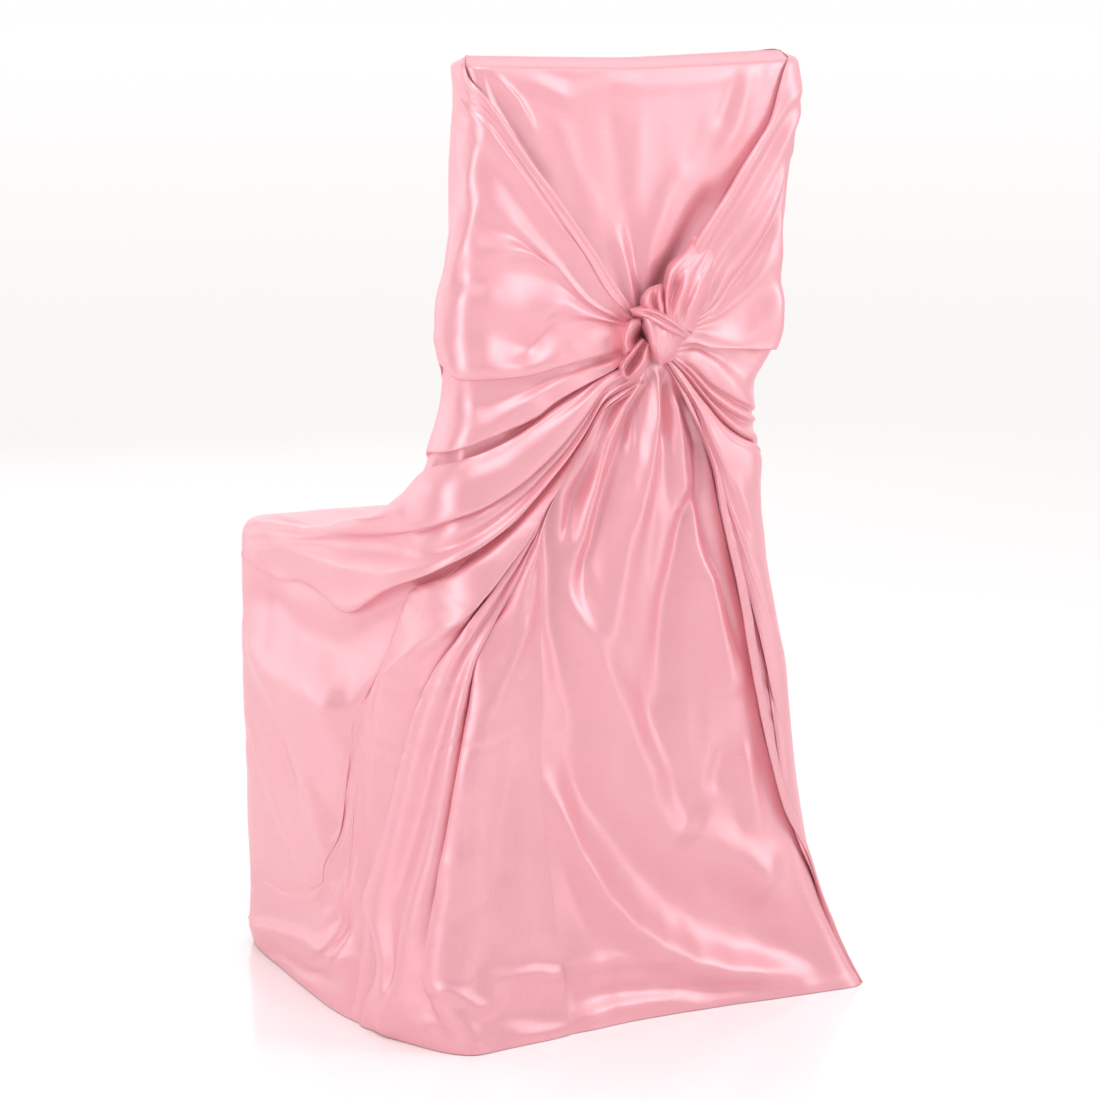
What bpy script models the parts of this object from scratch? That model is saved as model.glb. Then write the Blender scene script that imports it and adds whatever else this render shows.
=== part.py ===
"""Fitted satin chair cover, tied in a knot across its back.

Frame: metres, +Z up, the seat side faces -Y, the tied back faces +Y, origin on
the floor under the middle of the cover's bounding box.

cover     one closed sheet solid: a bag that falls from the top of a chair's
          backrest over the seat to the floor, open underneath
tie_knot  the bag's two tie ends, knotted in the middle of the back
"""
import math

import bmesh
import bpy
import numpy as np
from mathutils import Vector

# ---------------------------------------------------------------- dimensions
HEIGHT = 0.955            # floor to the top edge
CLOTH = 0.0022            # thickness of the cover's sheet
CROWN_SAG = 0.005         # the top edge hangs this much between its corners
HALF_X = 0.2625           # half of the overall width
HALF_Y = 0.236            # half of the overall depth
KNOT = (-0.004, 0.2172, 0.678)   # middle of the knot
KNOT_GAP = 0.0012         # clear space between knot and sheet, at the least
RIM = 2                   # smoothing passes that round the plan's corners

# points along each stretch of a section: back half, rear side, front side, front half
N_BACK, N_REAR, N_FORE, N_FRONT = 15, 6, 6, 4
ROWS_BETWEEN = 31         # rows of the loft from the top edge to the hem
HEM_BAND = 0.006          # the hem stands straight over its last few millimetres

# Sections of the bag, top edge to hem. Each row is one closed line around it:
# back height, left and right back corner x, their y, back centre y |
# side height, left and right side x, y | front height, half width, y
SECTIONS = (
    # zb     xl     xr      yb     yc      zs     sl     sr      ys      zf     xf     yf
    (0.945, 0.178, -0.186, 0.194, 0.197,  0.945, 0.180, -0.190,  0.168,  0.945, 0.174,  0.141),
    (0.905, 0.172, -0.182, 0.197, 0.199,  0.905, 0.175, -0.185,  0.166,  0.905, 0.170,  0.137),
    (0.855, 0.174, -0.178, 0.198, 0.198,  0.855, 0.178, -0.183,  0.166,  0.855, 0.172,  0.136),
    (0.805, 0.178, -0.170, 0.199, 0.197,  0.805, 0.182, -0.180,  0.166,  0.805, 0.174,  0.136),
    (0.755, 0.183, -0.163, 0.200, 0.196,  0.755, 0.188, -0.177,  0.164,  0.755, 0.175,  0.135),
    (0.705, 0.188, -0.164, 0.201, 0.199,  0.705, 0.194, -0.180,  0.162,  0.705, 0.175,  0.134),
    (0.665, 0.184, -0.156, 0.200, 0.200,  0.665, 0.189, -0.174,  0.158,  0.665, 0.174,  0.133),
    (0.625, 0.184, -0.130, 0.199, 0.202,  0.625, 0.190, -0.162,  0.150,  0.625, 0.174,  0.131),
    (0.585, 0.190, -0.126, 0.198, 0.203,  0.590, 0.197, -0.164,  0.142,  0.580, 0.174,  0.129),
    (0.550, 0.198, -0.132, 0.198, 0.204,  0.555, 0.206, -0.172,  0.134,  0.530, 0.178,  0.126),
    (0.515, 0.206, -0.132, 0.200, 0.206,  0.525, 0.216, -0.184,  0.112,  0.484, 0.186,  0.116),
    (0.475, 0.212, -0.138, 0.203, 0.208,  0.500, 0.227, -0.200,  0.060,  0.466, 0.206,  0.040),
    (0.430, 0.216, -0.150, 0.206, 0.209,  0.478, 0.233, -0.214, -0.010,  0.465, 0.222, -0.085),
    (0.385, 0.220, -0.160, 0.208, 0.210,  0.440, 0.236, -0.230, -0.030,  0.463, 0.240, -0.222),
    (0.330, 0.222, -0.168, 0.210, 0.211,  0.370, 0.240, -0.250, -0.005,  0.415, 0.246, -0.246),
    (0.260, 0.222, -0.176, 0.212, 0.212,  0.285, 0.246, -0.259,  0.020,  0.315, 0.244, -0.248),
    (0.180, 0.224, -0.188, 0.214, 0.213,  0.195, 0.252, -0.258,  0.040,  0.210, 0.242, -0.248),
    (0.100, 0.230, -0.210, 0.219, 0.214,  0.105, 0.257, -0.254,  0.055,  0.110, 0.240, -0.247),
    (0.040, 0.230, -0.238, 0.227, 0.215,  0.042, 0.260, -0.252,  0.065,  0.044, 0.238, -0.246),
    (0.000, 0.222, -0.260, 0.236, 0.217,  0.000, 0.262, -0.252,  0.070,  0.000, 0.236, -0.245),
)

# Folds of the hanging cloth. Each is a soft ridge (height > 0) or trough
# (height < 0) of one width, along a short line of points (x, y, z) on the cloth.
FOLDS = (
    # height  width   line
    (0.023, 0.018, ((0.158, 0.20, 0.905), (0.126, 0.20, 0.842), (0.072, 0.20, 0.762), (0.026, 0.20, 0.712))),
    (-0.007, 0.012, ((0.178, 0.19, 0.880), (0.155, 0.20, 0.800), (0.110, 0.20, 0.740), (0.060, 0.20, 0.705))),
    (0.022, 0.018, ((-0.156, 0.20, 0.895), (-0.142, 0.20, 0.850), (-0.110, 0.20, 0.800), (-0.052, 0.20, 0.722))),
    (-0.009, 0.015, ((-0.120, 0.20, 0.870), (-0.092, 0.20, 0.820), (-0.058, 0.20, 0.765), (-0.026, 0.20, 0.728))),
    (0.009, 0.012, ((-0.164, 0.19, 0.830), (-0.140, 0.20, 0.770), (-0.090, 0.20, 0.715), (-0.050, 0.20, 0.695))),
    (0.010, 0.014, ((-0.165, 0.18, 0.690), (-0.120, 0.20, 0.675), (-0.050, 0.20, 0.678))),
    (0.008, 0.016, ((0.184, 0.17, 0.790), (0.150, 0.20, 0.745), (0.080, 0.20, 0.705), (0.034, 0.20, 0.690))),
    (0.011, 0.016, ((0.190, 0.17, 0.705), (0.130, 0.20, 0.695), (0.040, 0.20, 0.682))),
    # sweeps from the knot over the left side of the backrest and the seat
    (0.014, 0.016, ((0.030, 0.20, 0.655), (0.095, 0.20, 0.624), (0.168, 0.20, 0.585), (0.206, 0.16, 0.565))),
    (-0.010, 0.014, ((0.040, 0.20, 0.636), (0.100, 0.20, 0.600), (0.165, 0.20, 0.563), (0.206, 0.15, 0.545))),
    (0.015, 0.016, ((0.036, 0.20, 0.628), (0.104, 0.20, 0.574), (0.170, 0.20, 0.540), (0.220, 0.12, 0.510))),
    (0.009, 0.016, ((0.222, 0.10, 0.510), (0.230, -0.02, 0.478), (0.230, -0.20, 0.454))),
    (-0.012, 0.016, ((0.045, 0.20, 0.612), (0.112, 0.20, 0.546), (0.190, 0.20, 0.490), (0.232, 0.06, 0.452))),
    (0.012, 0.018, ((0.210, 0.20, 0.455), (0.238, 0.10, 0.420), (0.236, -0.04, 0.404), (0.232, -0.20, 0.425))),
    (-0.008, 0.016, ((0.222, 0.19, 0.420), (0.240, 0.06, 0.380), (0.238, -0.08, 0.372))),
    (0.018, 0.017, ((0.046, 0.20, 0.610), (0.084, 0.20, 0.560), (0.122, 0.20, 0.510), (0.168, 0.20, 0.450))),
    (0.016, 0.018, ((0.168, 0.20, 0.450), (0.214, 0.20, 0.398), (0.242, 0.14, 0.362), (0.242, 0.04, 0.315))),
    # rear left corner: the long edge beside the skirt, and the fold behind it
    (0.014, 0.013, ((0.180, 0.21, 0.430), (0.200, 0.21, 0.340), (0.206, 0.21, 0.220), (0.218, 0.21, 0.110), (0.200, 0.22, 0.000))),
    (-0.018, 0.013, ((0.224, 0.20, 0.345), (0.234, 0.19, 0.240), (0.242, 0.17, 0.120), (0.238, 0.18, 0.000))),
    (0.012, 0.020, ((0.236, 0.17, 0.345), (0.244, 0.14, 0.200), (0.250, 0.13, 0.080), (0.252, 0.12, 0.000))),
    (-0.010, 0.030, ((0.242, 0.02, 0.330), (0.250, 0.02, 0.160), (0.254, 0.02, 0.000))),
    (0.006, 0.030, ((0.240, -0.12, 0.380), (0.244, -0.09, 0.200), (0.246, -0.10, 0.000))),
    # skirt of the back, falling from the knot
    (0.013, 0.026, ((0.016, 0.20, 0.630), (0.060, 0.21, 0.400), (0.100, 0.21, 0.180), (0.110, 0.21, 0.000))),
    (-0.010, 0.022, ((0.004, 0.20, 0.600), (0.014, 0.21, 0.380), (0.030, 0.21, 0.180), (0.040, 0.21, 0.000))),
    (0.013, 0.026, ((-0.020, 0.20, 0.630), (-0.034, 0.21, 0.400), (-0.040, 0.21, 0.200), (-0.050, 0.21, 0.000))),
    (-0.011, 0.018, ((-0.042, 0.20, 0.620), (-0.066, 0.21, 0.480), (-0.090, 0.21, 0.330), (-0.110, 0.21, 0.200))),
    # long edge on the right, from the knot to the rear right corner of the hem
    (0.018, 0.018, ((-0.048, 0.20, 0.640), (-0.084, 0.20, 0.530), (-0.120, 0.20, 0.410), (-0.150, 0.20, 0.300))),
    (0.017, 0.018, ((-0.150, 0.20, 0.300), (-0.166, 0.21, 0.190), (-0.196, 0.21, 0.090), (-0.236, 0.22, 0.000))),
    (-0.010, 0.012, ((-0.126, 0.21, 0.250), (-0.142, 0.21, 0.170), (-0.170, 0.21, 0.090))),
    (0.011, 0.011, ((-0.046, 0.20, 0.655), (-0.090, 0.20, 0.632), (-0.126, 0.19, 0.606))),
    (0.011, 0.011, ((-0.050, 0.20, 0.640), (-0.094, 0.20, 0.594), (-0.128, 0.19, 0.560))),
    # the seat's right side and the front
    (0.010, 0.018, ((-0.140, 0.19, 0.560), (-0.196, 0.08, 0.490), (-0.222, -0.20, 0.450))),
    (0.011, 0.020, ((-0.160, 0.19, 0.420), (-0.232, 0.06, 0.400), (-0.236, -0.16, 0.390))),
    (-0.012, 0.026, ((-0.225, 0.12, 0.380), (-0.240, 0.13, 0.200), (-0.245, 0.13, 0.000))),
    (-0.010, 0.030, ((-0.244, -0.10, 0.370), (-0.250, -0.08, 0.180), (-0.248, -0.08, 0.000))),
    (-0.008, 0.035, ((0.090, -0.23, 0.400), (0.070, -0.23, 0.200), (0.080, -0.23, 0.000))),
    (-0.008, 0.035, ((-0.110, -0.23, 0.400), (-0.080, -0.23, 0.200), (-0.085, -0.23, 0.000))),
    # slack across the hem
    (0.007, 0.014, ((0.160, 0.21, 0.055), (0.020, 0.21, 0.045), (-0.120, 0.21, 0.050), (-0.200, 0.22, 0.060))),
)

# Bands of the knot: half thickness, half width, line of points from the
# knot's middle (x, y, z). The wrap crosses over the other two.
BANDS = (
    # thick   wide    line
    (0.0075, 0.0170, ((-0.008, 0.0040, 0.026), (-0.018, 0.0100, 0.012), (-0.019, 0.0110, -0.004),
                      (-0.012, 0.0070, -0.020), (-0.003, 0.0010, -0.031))),
    (0.0090, 0.0150, ((0.036, -0.0020, -0.002), (0.020, 0.0000, 0.009), (-0.005, 0.0020, 0.010),
                      (-0.030, 0.0000, 0.004), (-0.044, -0.0040, -0.002))),
    (0.0070, 0.0095, ((0.028, 0.0000, 0.018), (0.034, 0.0030, 0.004), (0.031, 0.0030, -0.012),
                      (0.022, 0.0020, -0.022), (0.006, 0.0010, -0.020))),
    (0.0085, 0.0110, ((-0.022, -0.0020, 0.046), (-0.016, 0.0010, 0.034), (-0.004, 0.0020, 0.020),
                      (0.006, 0.0000, 0.008))),
    (0.0070, 0.0130, ((0.026, 0.0000, 0.004), (0.016, 0.0010, -0.004), (0.004, 0.0010, -0.010),
                      (-0.010, 0.0020, -0.012))),
)
BAND_SIDES, BAND_STEPS = 8, 8

SATIN = (0.90, 0.40, 0.45)       # pale pink satin
SATIN_ROUGHNESS = 0.33


# ------------------------------------------------------------------- helpers
def clear_scene():
    for ob in list(bpy.data.objects):
        bpy.data.objects.remove(ob, do_unlink=True)


def satin(name, colour):
    mat = bpy.data.materials.new(name)
    mat.use_nodes = True
    bsdf = mat.node_tree.nodes["Principled BSDF"]
    bsdf.inputs["Base Color"].default_value = (*colour, 1.0)
    bsdf.inputs["Roughness"].default_value = SATIN_ROUGHNESS
    bsdf.inputs["Metallic"].default_value = 0.0
    return mat


def smooth_between(table, t):
    """Catmull-Rom value at 0..1 of evenly spaced rows."""
    rows = np.asarray(table, float)
    n = len(rows) - 1
    u = min(max(t, 0.0), 1.0) * n
    i = min(int(u), n - 1)
    f = u - i
    p0, p1 = rows[max(i - 1, 0)], rows[i]
    p2, p3 = rows[i + 1], rows[min(i + 2, n)]
    return 0.5 * (2 * p1 + (p2 - p0) * f + (2 * p0 - 5 * p1 + 4 * p2 - p3) * f * f
                  + (3 * p1 - p0 - 3 * p2 + p3) * f ** 3)


def section_ring(row):
    """One closed line around the bag, back centre first, left side next."""
    zb, xl, xr, yb, yc, zs, sl, sr, ys, zf, xf, yf = row
    sag = CROWN_SAG * max(0.0, (zb - 0.93) / (HEIGHT - 0.94))
    front_mid = (0.0, yf - 0.002, zf - sag)
    knots = ((0.0, yc, zb - sag), (xl, yb, zb), (sl, ys, zs), (xf, yf, zf), front_mid,
             (-xf, yf, zf), (sr, ys, zs), (xr, yb, zb), (0.0, yc, zb - sag))
    counts = (N_BACK, N_REAR, N_FORE, N_FRONT, N_FRONT, N_FORE, N_REAR, N_BACK)
    pts = []
    for a, b, n in zip(knots[:-1], knots[1:], counts):
        for k in range(n):
            t = k / n if n == N_BACK else 0.5 * k / n + 0.5 * (0.5 - 0.5 * math.cos(math.pi * k / n))
            pts.append(np.asarray(a) + (np.asarray(b) - np.asarray(a)) * t)
    pts = np.array(pts)
    for _ in range(RIM):
        pts = 0.25 * np.roll(pts, 1, 0) + 0.5 * pts + 0.25 * np.roll(pts, -1, 0)
    return pts


def ring_normals(grid):
    """Outward directions of the loft at each of its points."""
    around = np.roll(grid, -1, 1) - np.roll(grid, 1, 1)
    down = np.empty_like(grid)
    down[1:-1] = grid[2:] - grid[:-2]
    down[0], down[-1] = grid[1] - grid[0], grid[-1] - grid[-2]
    n = np.cross(around, down)
    n /= np.linalg.norm(n, axis=2, keepdims=True)
    middle = grid.mean(axis=(0, 1))
    if ((grid - middle) * n).sum() < 0:
        n = -n
    return n


def distance_to_line(p, line):
    """Distance from each point to a line of straight runs."""
    best = np.full(p.shape[:-1], np.inf)
    line = np.asarray(line, float)
    for a, b in zip(line[:-1], line[1:]):
        ab = b - a
        t = np.clip(((p - a) @ ab) / (ab @ ab), 0, 1)
        best = np.minimum(best, np.linalg.norm(p - a - t[..., None] * ab, axis=-1))
    return best


def fold_relief(grid):
    """Height of the folds over the plain bag."""
    h = np.zeros(grid.shape[:2])
    for height, width, line in FOLDS:
        d = distance_to_line(grid, line)
        h += height * np.exp(-(d / width) ** 2 * 0.7)
    return h


# --------------------------------------------------------------------- cover
def cover_grid():
    rows = [section_ring(smooth_between(SECTIONS, k / ROWS_BETWEEN)) for k in range(ROWS_BETWEEN + 1)]
    grid = np.array(rows)
    grid[..., 2] = np.clip(grid[..., 2], 0.0, HEIGHT)
    grid[-1, :, 2] = 0.0
    n = ring_normals(grid)
    n[-1, :, 2] = 0.0
    out = grid + n * fold_relief(grid)[..., None]
    # flatten the sheet behind the knot, so the knot lies clear on it
    kx, ky, kz = KNOT
    near = np.exp(-(((out[..., 0] - kx) / 0.050) ** 2 + ((out[..., 2] - kz) / 0.042) ** 2) ** 2)
    back = out[..., 1] > 0.15
    flat_y = ky - 0.0205
    out[..., 1] = np.where(back, out[..., 1] * (1 - near) + flat_y * near, out[..., 1])
    # round off single steps of the relief, but leave the hem and the top edge
    soft = 0.25 * (np.roll(out, 1, 1) + np.roll(out, -1, 1)) + 0.5 * out
    mid = out.copy()
    mid[1:-1] = 0.25 * (soft[:-2] + soft[2:]) + 0.5 * soft[1:-1]
    out = 0.4 * out + 0.6 * mid
    out[..., 2] = np.clip(out[..., 2], 0.0, HEIGHT - 0.002)
    out[-1, :, 2] = 0.0
    out[..., 0] = np.clip(out[..., 0], -HALF_X, HALF_X)
    out[..., 1] = np.clip(out[..., 1], -HALF_Y, HALF_Y)
    out[..., 0] -= 0.5 * (out[..., 0].max() + out[..., 0].min())
    straight = out[-1].copy()
    straight[:, 2] = HEM_BAND
    return np.concatenate([out[:-1], straight[None], out[-1:]])


def crown_rows(edge):
    """Rows that close the bag over the top of the backrest, edge first."""
    mid_y = 0.5 * (edge[:, 1].max() + edge[:, 1].min())
    rows = []
    for inset, rise in ((0.25, 0.0062), (0.66, 0.0098)):
        r = edge.copy()
        r[:, 1] = mid_y + (edge[:, 1] - mid_y) * (1 - inset)
        r[:, 0] = edge[:, 0] * (1 - inset * 0.07)
        r[:, 2] = edge[:, 2] + rise
        rows.append(r)
    return rows


def build_cover(collection, mat):
    grid = cover_grid()
    bm = bmesh.new()
    rings = [[bm.verts.new(Vector(p)) for p in row] for row in grid]
    upper = [[bm.verts.new(Vector(p)) for p in row] for row in crown_rows(grid[0])]
    rings = upper[::-1] + rings
    n = len(rings[0])
    for a, b in zip(rings[:-1], rings[1:]):
        for k in range(n):
            bm.faces.new((a[k], b[k], b[(k + 1) % n], a[(k + 1) % n]))
    # close the slot left along the ridge: bridge each back point to its front one
    top = rings[0]
    left = [top[k % n] for k in range(0, n // 2 + 1)]
    right = [top[-k % n] for k in range(0, n // 2 + 1)]
    bm.faces.new([v for v in top])
    bmesh.ops.triangulate(bm, faces=[f for f in bm.faces if len(f.verts) > 4],
                          quad_method="BEAUTY", ngon_method="EAR_CLIP")
    bmesh.ops.recalc_face_normals(bm, faces=bm.faces)
    me = bpy.data.meshes.new("cover")
    bm.to_mesh(me)
    bm.free()
    me.materials.append(mat)
    me.shade_smooth()
    ob = bpy.data.objects.new("cover", me)
    collection.objects.link(ob)
    shell = ob.modifiers.new("sheet", "SOLIDIFY")
    shell.thickness = CLOTH
    shell.offset = -1.0
    shell.use_even_offset = False
    shell.use_rim = True
    return ob


# ---------------------------------------------------------------------- knot
def band_mesh(name, thick, wide, line):
    """A flat-oval band along a smooth line, with closed, narrowed ends."""
    bm = bmesh.new()
    centre = [np.asarray(KNOT) + smooth_between(line, k / BAND_STEPS) for k in range(BAND_STEPS + 1)]
    rings = []
    for k, c in enumerate(centre):
        a, b = centre[max(k - 1, 0)], centre[min(k + 1, BAND_STEPS)]
        run = Vector(b - a).normalized()
        out = Vector((0.0, 1.0, 0.0))
        side = run.cross(out).normalized()
        out = side.cross(run).normalized()
        t = k / BAND_STEPS
        end = math.sqrt(max(0.0, 1 - abs(2 * t - 1) ** 6)) * 0.55 + 0.45
        ring = []
        for s in range(BAND_SIDES):
            ang = 2 * math.pi * s / BAND_SIDES
            ring.append(bm.verts.new(Vector(c) + side * (wide * end * math.cos(ang))
                                     + out * (thick * end * math.sin(ang))))
        rings.append(ring)
    for a, b in zip(rings[:-1], rings[1:]):
        for s in range(BAND_SIDES):
            bm.faces.new((a[s], b[s], b[(s + 1) % BAND_SIDES], a[(s + 1) % BAND_SIDES]))
    bm.faces.new(rings[0])
    bm.faces.new(rings[-1])
    bmesh.ops.recalc_face_normals(bm, faces=bm.faces)
    me = bpy.data.meshes.new(name)
    bm.to_mesh(me)
    bm.free()
    return me


def build_knot(collection, cutters, mat):
    first = None
    for k, (thick, wide, line) in enumerate(BANDS):
        me = band_mesh(f"band_{k}", thick, wide, line)
        if first is None:
            me.name = "tie_knot"
            me.materials.append(mat)
            first = bpy.data.objects.new("tie_knot", me)
            collection.objects.link(first)
            continue
        ob = bpy.data.objects.new(f"band_{k}", me)
        ob.hide_render = True
        ob.display_type = "WIRE"
        cutters.objects.link(ob)
        join = first.modifiers.new(f"join_{k}", "BOOLEAN")
        join.operation = "UNION"
        join.solver = "EXACT"
        join.object = ob
    return first


# --------------------------------------------------------------------- build
def main():
    clear_scene()
    parts = bpy.data.collections.new("chair_cover")
    cutters = bpy.data.collections.new("knot_bands")
    for c in (parts, cutters):
        bpy.context.scene.collection.children.link(c)
    build_cover(parts, satin("cover_satin", SATIN))
    build_knot(parts, cutters, satin("knot_satin", tuple(c * 0.97 for c in SATIN)))


main()
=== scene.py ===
"""Looks of the fitted satin chair cover: its cloth as thin sheets with their
folds, the knot of its two tie ends, the satin itself, and a plain studio.

Frame as in the construction: metres, +Z up, the tied back faces +Y, the seat
side faces -Y. Folds are placed along lines seen from one view point, in that
view's units (1100 wide and high), and heights are in millimetres.
"""

import math

import bpy
import numpy as np
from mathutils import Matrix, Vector
from mathutils.bvhtree import BVHTree


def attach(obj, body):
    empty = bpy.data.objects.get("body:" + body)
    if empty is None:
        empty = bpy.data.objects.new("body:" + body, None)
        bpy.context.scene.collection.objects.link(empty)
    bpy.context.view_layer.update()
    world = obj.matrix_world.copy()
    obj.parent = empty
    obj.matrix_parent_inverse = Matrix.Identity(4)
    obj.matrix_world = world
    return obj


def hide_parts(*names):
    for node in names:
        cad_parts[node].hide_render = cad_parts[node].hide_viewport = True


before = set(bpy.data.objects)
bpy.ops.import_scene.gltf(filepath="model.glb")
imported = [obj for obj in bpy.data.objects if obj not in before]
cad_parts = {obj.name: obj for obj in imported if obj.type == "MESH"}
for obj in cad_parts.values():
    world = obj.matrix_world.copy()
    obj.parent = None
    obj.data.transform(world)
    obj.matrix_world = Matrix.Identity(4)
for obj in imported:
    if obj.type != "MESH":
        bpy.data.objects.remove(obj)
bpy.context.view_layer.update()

# ----------------------------------------------------------------- view point
EYE = np.array([1.6251, 2.9562, 1.066])
YAW, PITCH, FOCAL = math.radians(29.0), math.radians(10.5), 3330.0
LENS = FOCAL / 1100 * 36

_ahead = np.array([-math.sin(YAW), -math.cos(YAW), 0.0])
_right = np.array([-math.cos(YAW), math.sin(YAW), 0.0])
_up = np.array([0.0, 0.0, 1.0])
V_AHEAD = _ahead * math.cos(PITCH) - _up * math.sin(PITCH)
V_UP = _ahead * math.sin(PITCH) + _up * math.cos(PITCH)


def sight(px, py):
    d = V_AHEAD + _right * (px - 550) / FOCAL + V_UP * (550 - py) / FOCAL
    return d / np.linalg.norm(d)


# ----------------------------------------------------------- the plain bag
# back height, left and right back corner x, their y, back centre y | side
# height, left and right side x, y | front height, half width, y
SECTIONS = (
    (0.945, 0.178, -0.186, 0.194, 0.197,  0.945, 0.180, -0.190,  0.168,  0.945, 0.174,  0.141),
    (0.905, 0.172, -0.182, 0.197, 0.199,  0.905, 0.175, -0.185,  0.166,  0.905, 0.170,  0.137),
    (0.855, 0.174, -0.178, 0.198, 0.198,  0.855, 0.178, -0.183,  0.166,  0.855, 0.172,  0.136),
    (0.805, 0.178, -0.170, 0.199, 0.197,  0.805, 0.182, -0.180,  0.166,  0.805, 0.174,  0.136),
    (0.755, 0.183, -0.163, 0.200, 0.196,  0.755, 0.188, -0.177,  0.164,  0.755, 0.175,  0.135),
    (0.705, 0.188, -0.164, 0.201, 0.199,  0.705, 0.194, -0.180,  0.162,  0.705, 0.175,  0.134),
    (0.665, 0.184, -0.156, 0.200, 0.200,  0.665, 0.189, -0.174,  0.158,  0.665, 0.174,  0.133),
    (0.625, 0.184, -0.130, 0.199, 0.202,  0.625, 0.190, -0.162,  0.150,  0.625, 0.174,  0.131),
    (0.585, 0.190, -0.126, 0.198, 0.203,  0.590, 0.197, -0.164,  0.142,  0.580, 0.174,  0.129),
    (0.550, 0.198, -0.132, 0.198, 0.204,  0.555, 0.206, -0.172,  0.134,  0.530, 0.178,  0.126),
    (0.515, 0.206, -0.132, 0.200, 0.206,  0.525, 0.216, -0.184,  0.112,  0.484, 0.186,  0.116),
    (0.475, 0.212, -0.138, 0.203, 0.208,  0.500, 0.227, -0.200,  0.060,  0.466, 0.206,  0.040),
    (0.430, 0.216, -0.150, 0.206, 0.209,  0.478, 0.233, -0.214, -0.010,  0.465, 0.222, -0.085),
    (0.385, 0.220, -0.160, 0.208, 0.210,  0.440, 0.236, -0.230, -0.030,  0.463, 0.240, -0.222),
    (0.330, 0.222, -0.168, 0.210, 0.211,  0.370, 0.240, -0.250, -0.005,  0.415, 0.246, -0.246),
    (0.260, 0.222, -0.176, 0.212, 0.212,  0.285, 0.246, -0.259,  0.020,  0.315, 0.244, -0.248),
    (0.180, 0.224, -0.188, 0.214, 0.213,  0.195, 0.252, -0.258,  0.040,  0.210, 0.242, -0.248),
    (0.100, 0.230, -0.210, 0.219, 0.214,  0.105, 0.257, -0.254,  0.055,  0.110, 0.240, -0.247),
    (0.040, 0.230, -0.238, 0.227, 0.215,  0.042, 0.260, -0.252,  0.065,  0.044, 0.238, -0.246),
    (0.000, 0.222, -0.260, 0.236, 0.217,  0.000, 0.262, -0.252,  0.070,  0.000, 0.236, -0.245),
)
HEIGHT, CROWN_SAG = 0.955, 0.005
HALF_X, HALF_Y = 0.2625, 0.236
N_BACK, N_REAR, N_FORE, N_FRONT = 15, 6, 6, 4
AROUND = 2 * (N_BACK + N_REAR + N_FORE + N_FRONT)     # 62 steps around
LAST = len(SECTIONS) - 1                              # 19 steps down
FINE_S, FINE_R, CROWN_R = 8, 20, 16


def catmull(rows, u):
    rows = np.asarray(rows, float)
    n = len(rows) - 1
    u = min(max(u, 0.0), n)
    i = min(int(u), n - 1)
    f = u - i
    p0, p1, p2, p3 = rows[max(i - 1, 0)], rows[i], rows[i + 1], rows[min(i + 2, n)]
    return 0.5 * (2 * p1 + (p2 - p0) * f + (2 * p0 - 5 * p1 + 4 * p2 - p3) * f * f
                  + (3 * p1 - p0 - 3 * p2 + p3) * f ** 3)


def section_ring(row):
    zb, xl, xr, yb, yc, zs, sl, sr, ys, zf, xf, yf = row
    sag = CROWN_SAG * max(0.0, (zb - 0.93) / (HEIGHT - 0.94))
    corners = ((0.0, yc, zb - sag), (xl, yb, zb), (sl, ys, zs), (xf, yf, zf),
               (0.0, yf - 0.002, zf - sag), (-xf, yf, zf), (sr, ys, zs), (xr, yb, zb),
               (0.0, yc, zb - sag))
    counts = (N_BACK, N_REAR, N_FORE, N_FRONT, N_FRONT, N_FORE, N_REAR, N_BACK)
    pts = []
    for a, b, n in zip(corners[:-1], corners[1:], counts):
        for k in range(n):
            t = k / n if n == N_BACK else 0.5 * k / n + 0.5 * (0.5 - 0.5 * math.cos(math.pi * k / n))
            pts.append(np.asarray(a) + (np.asarray(b) - np.asarray(a)) * t)
    pts = np.array(pts)
    for _ in range(2):
        pts = 0.25 * np.roll(pts, 1, 0) + 0.5 * pts + 0.25 * np.roll(pts, -1, 0)
    return pts


def finer(ring, k):
    """A closed line with k times the points, on a smooth curve through them."""
    p0, p1, p2, p3 = np.roll(ring, 1, 0), ring, np.roll(ring, -1, 0), np.roll(ring, -2, 0)
    out = np.empty((len(ring) * k, 3))
    for j in range(k):
        f = j / k
        out[j::k] = 0.5 * (2 * p1 + (p2 - p0) * f + (2 * p0 - 5 * p1 + 4 * p2 - p3) * f * f
                           + (3 * p1 - p0 - 3 * p2 + p3) * f ** 3)
    return out


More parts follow.
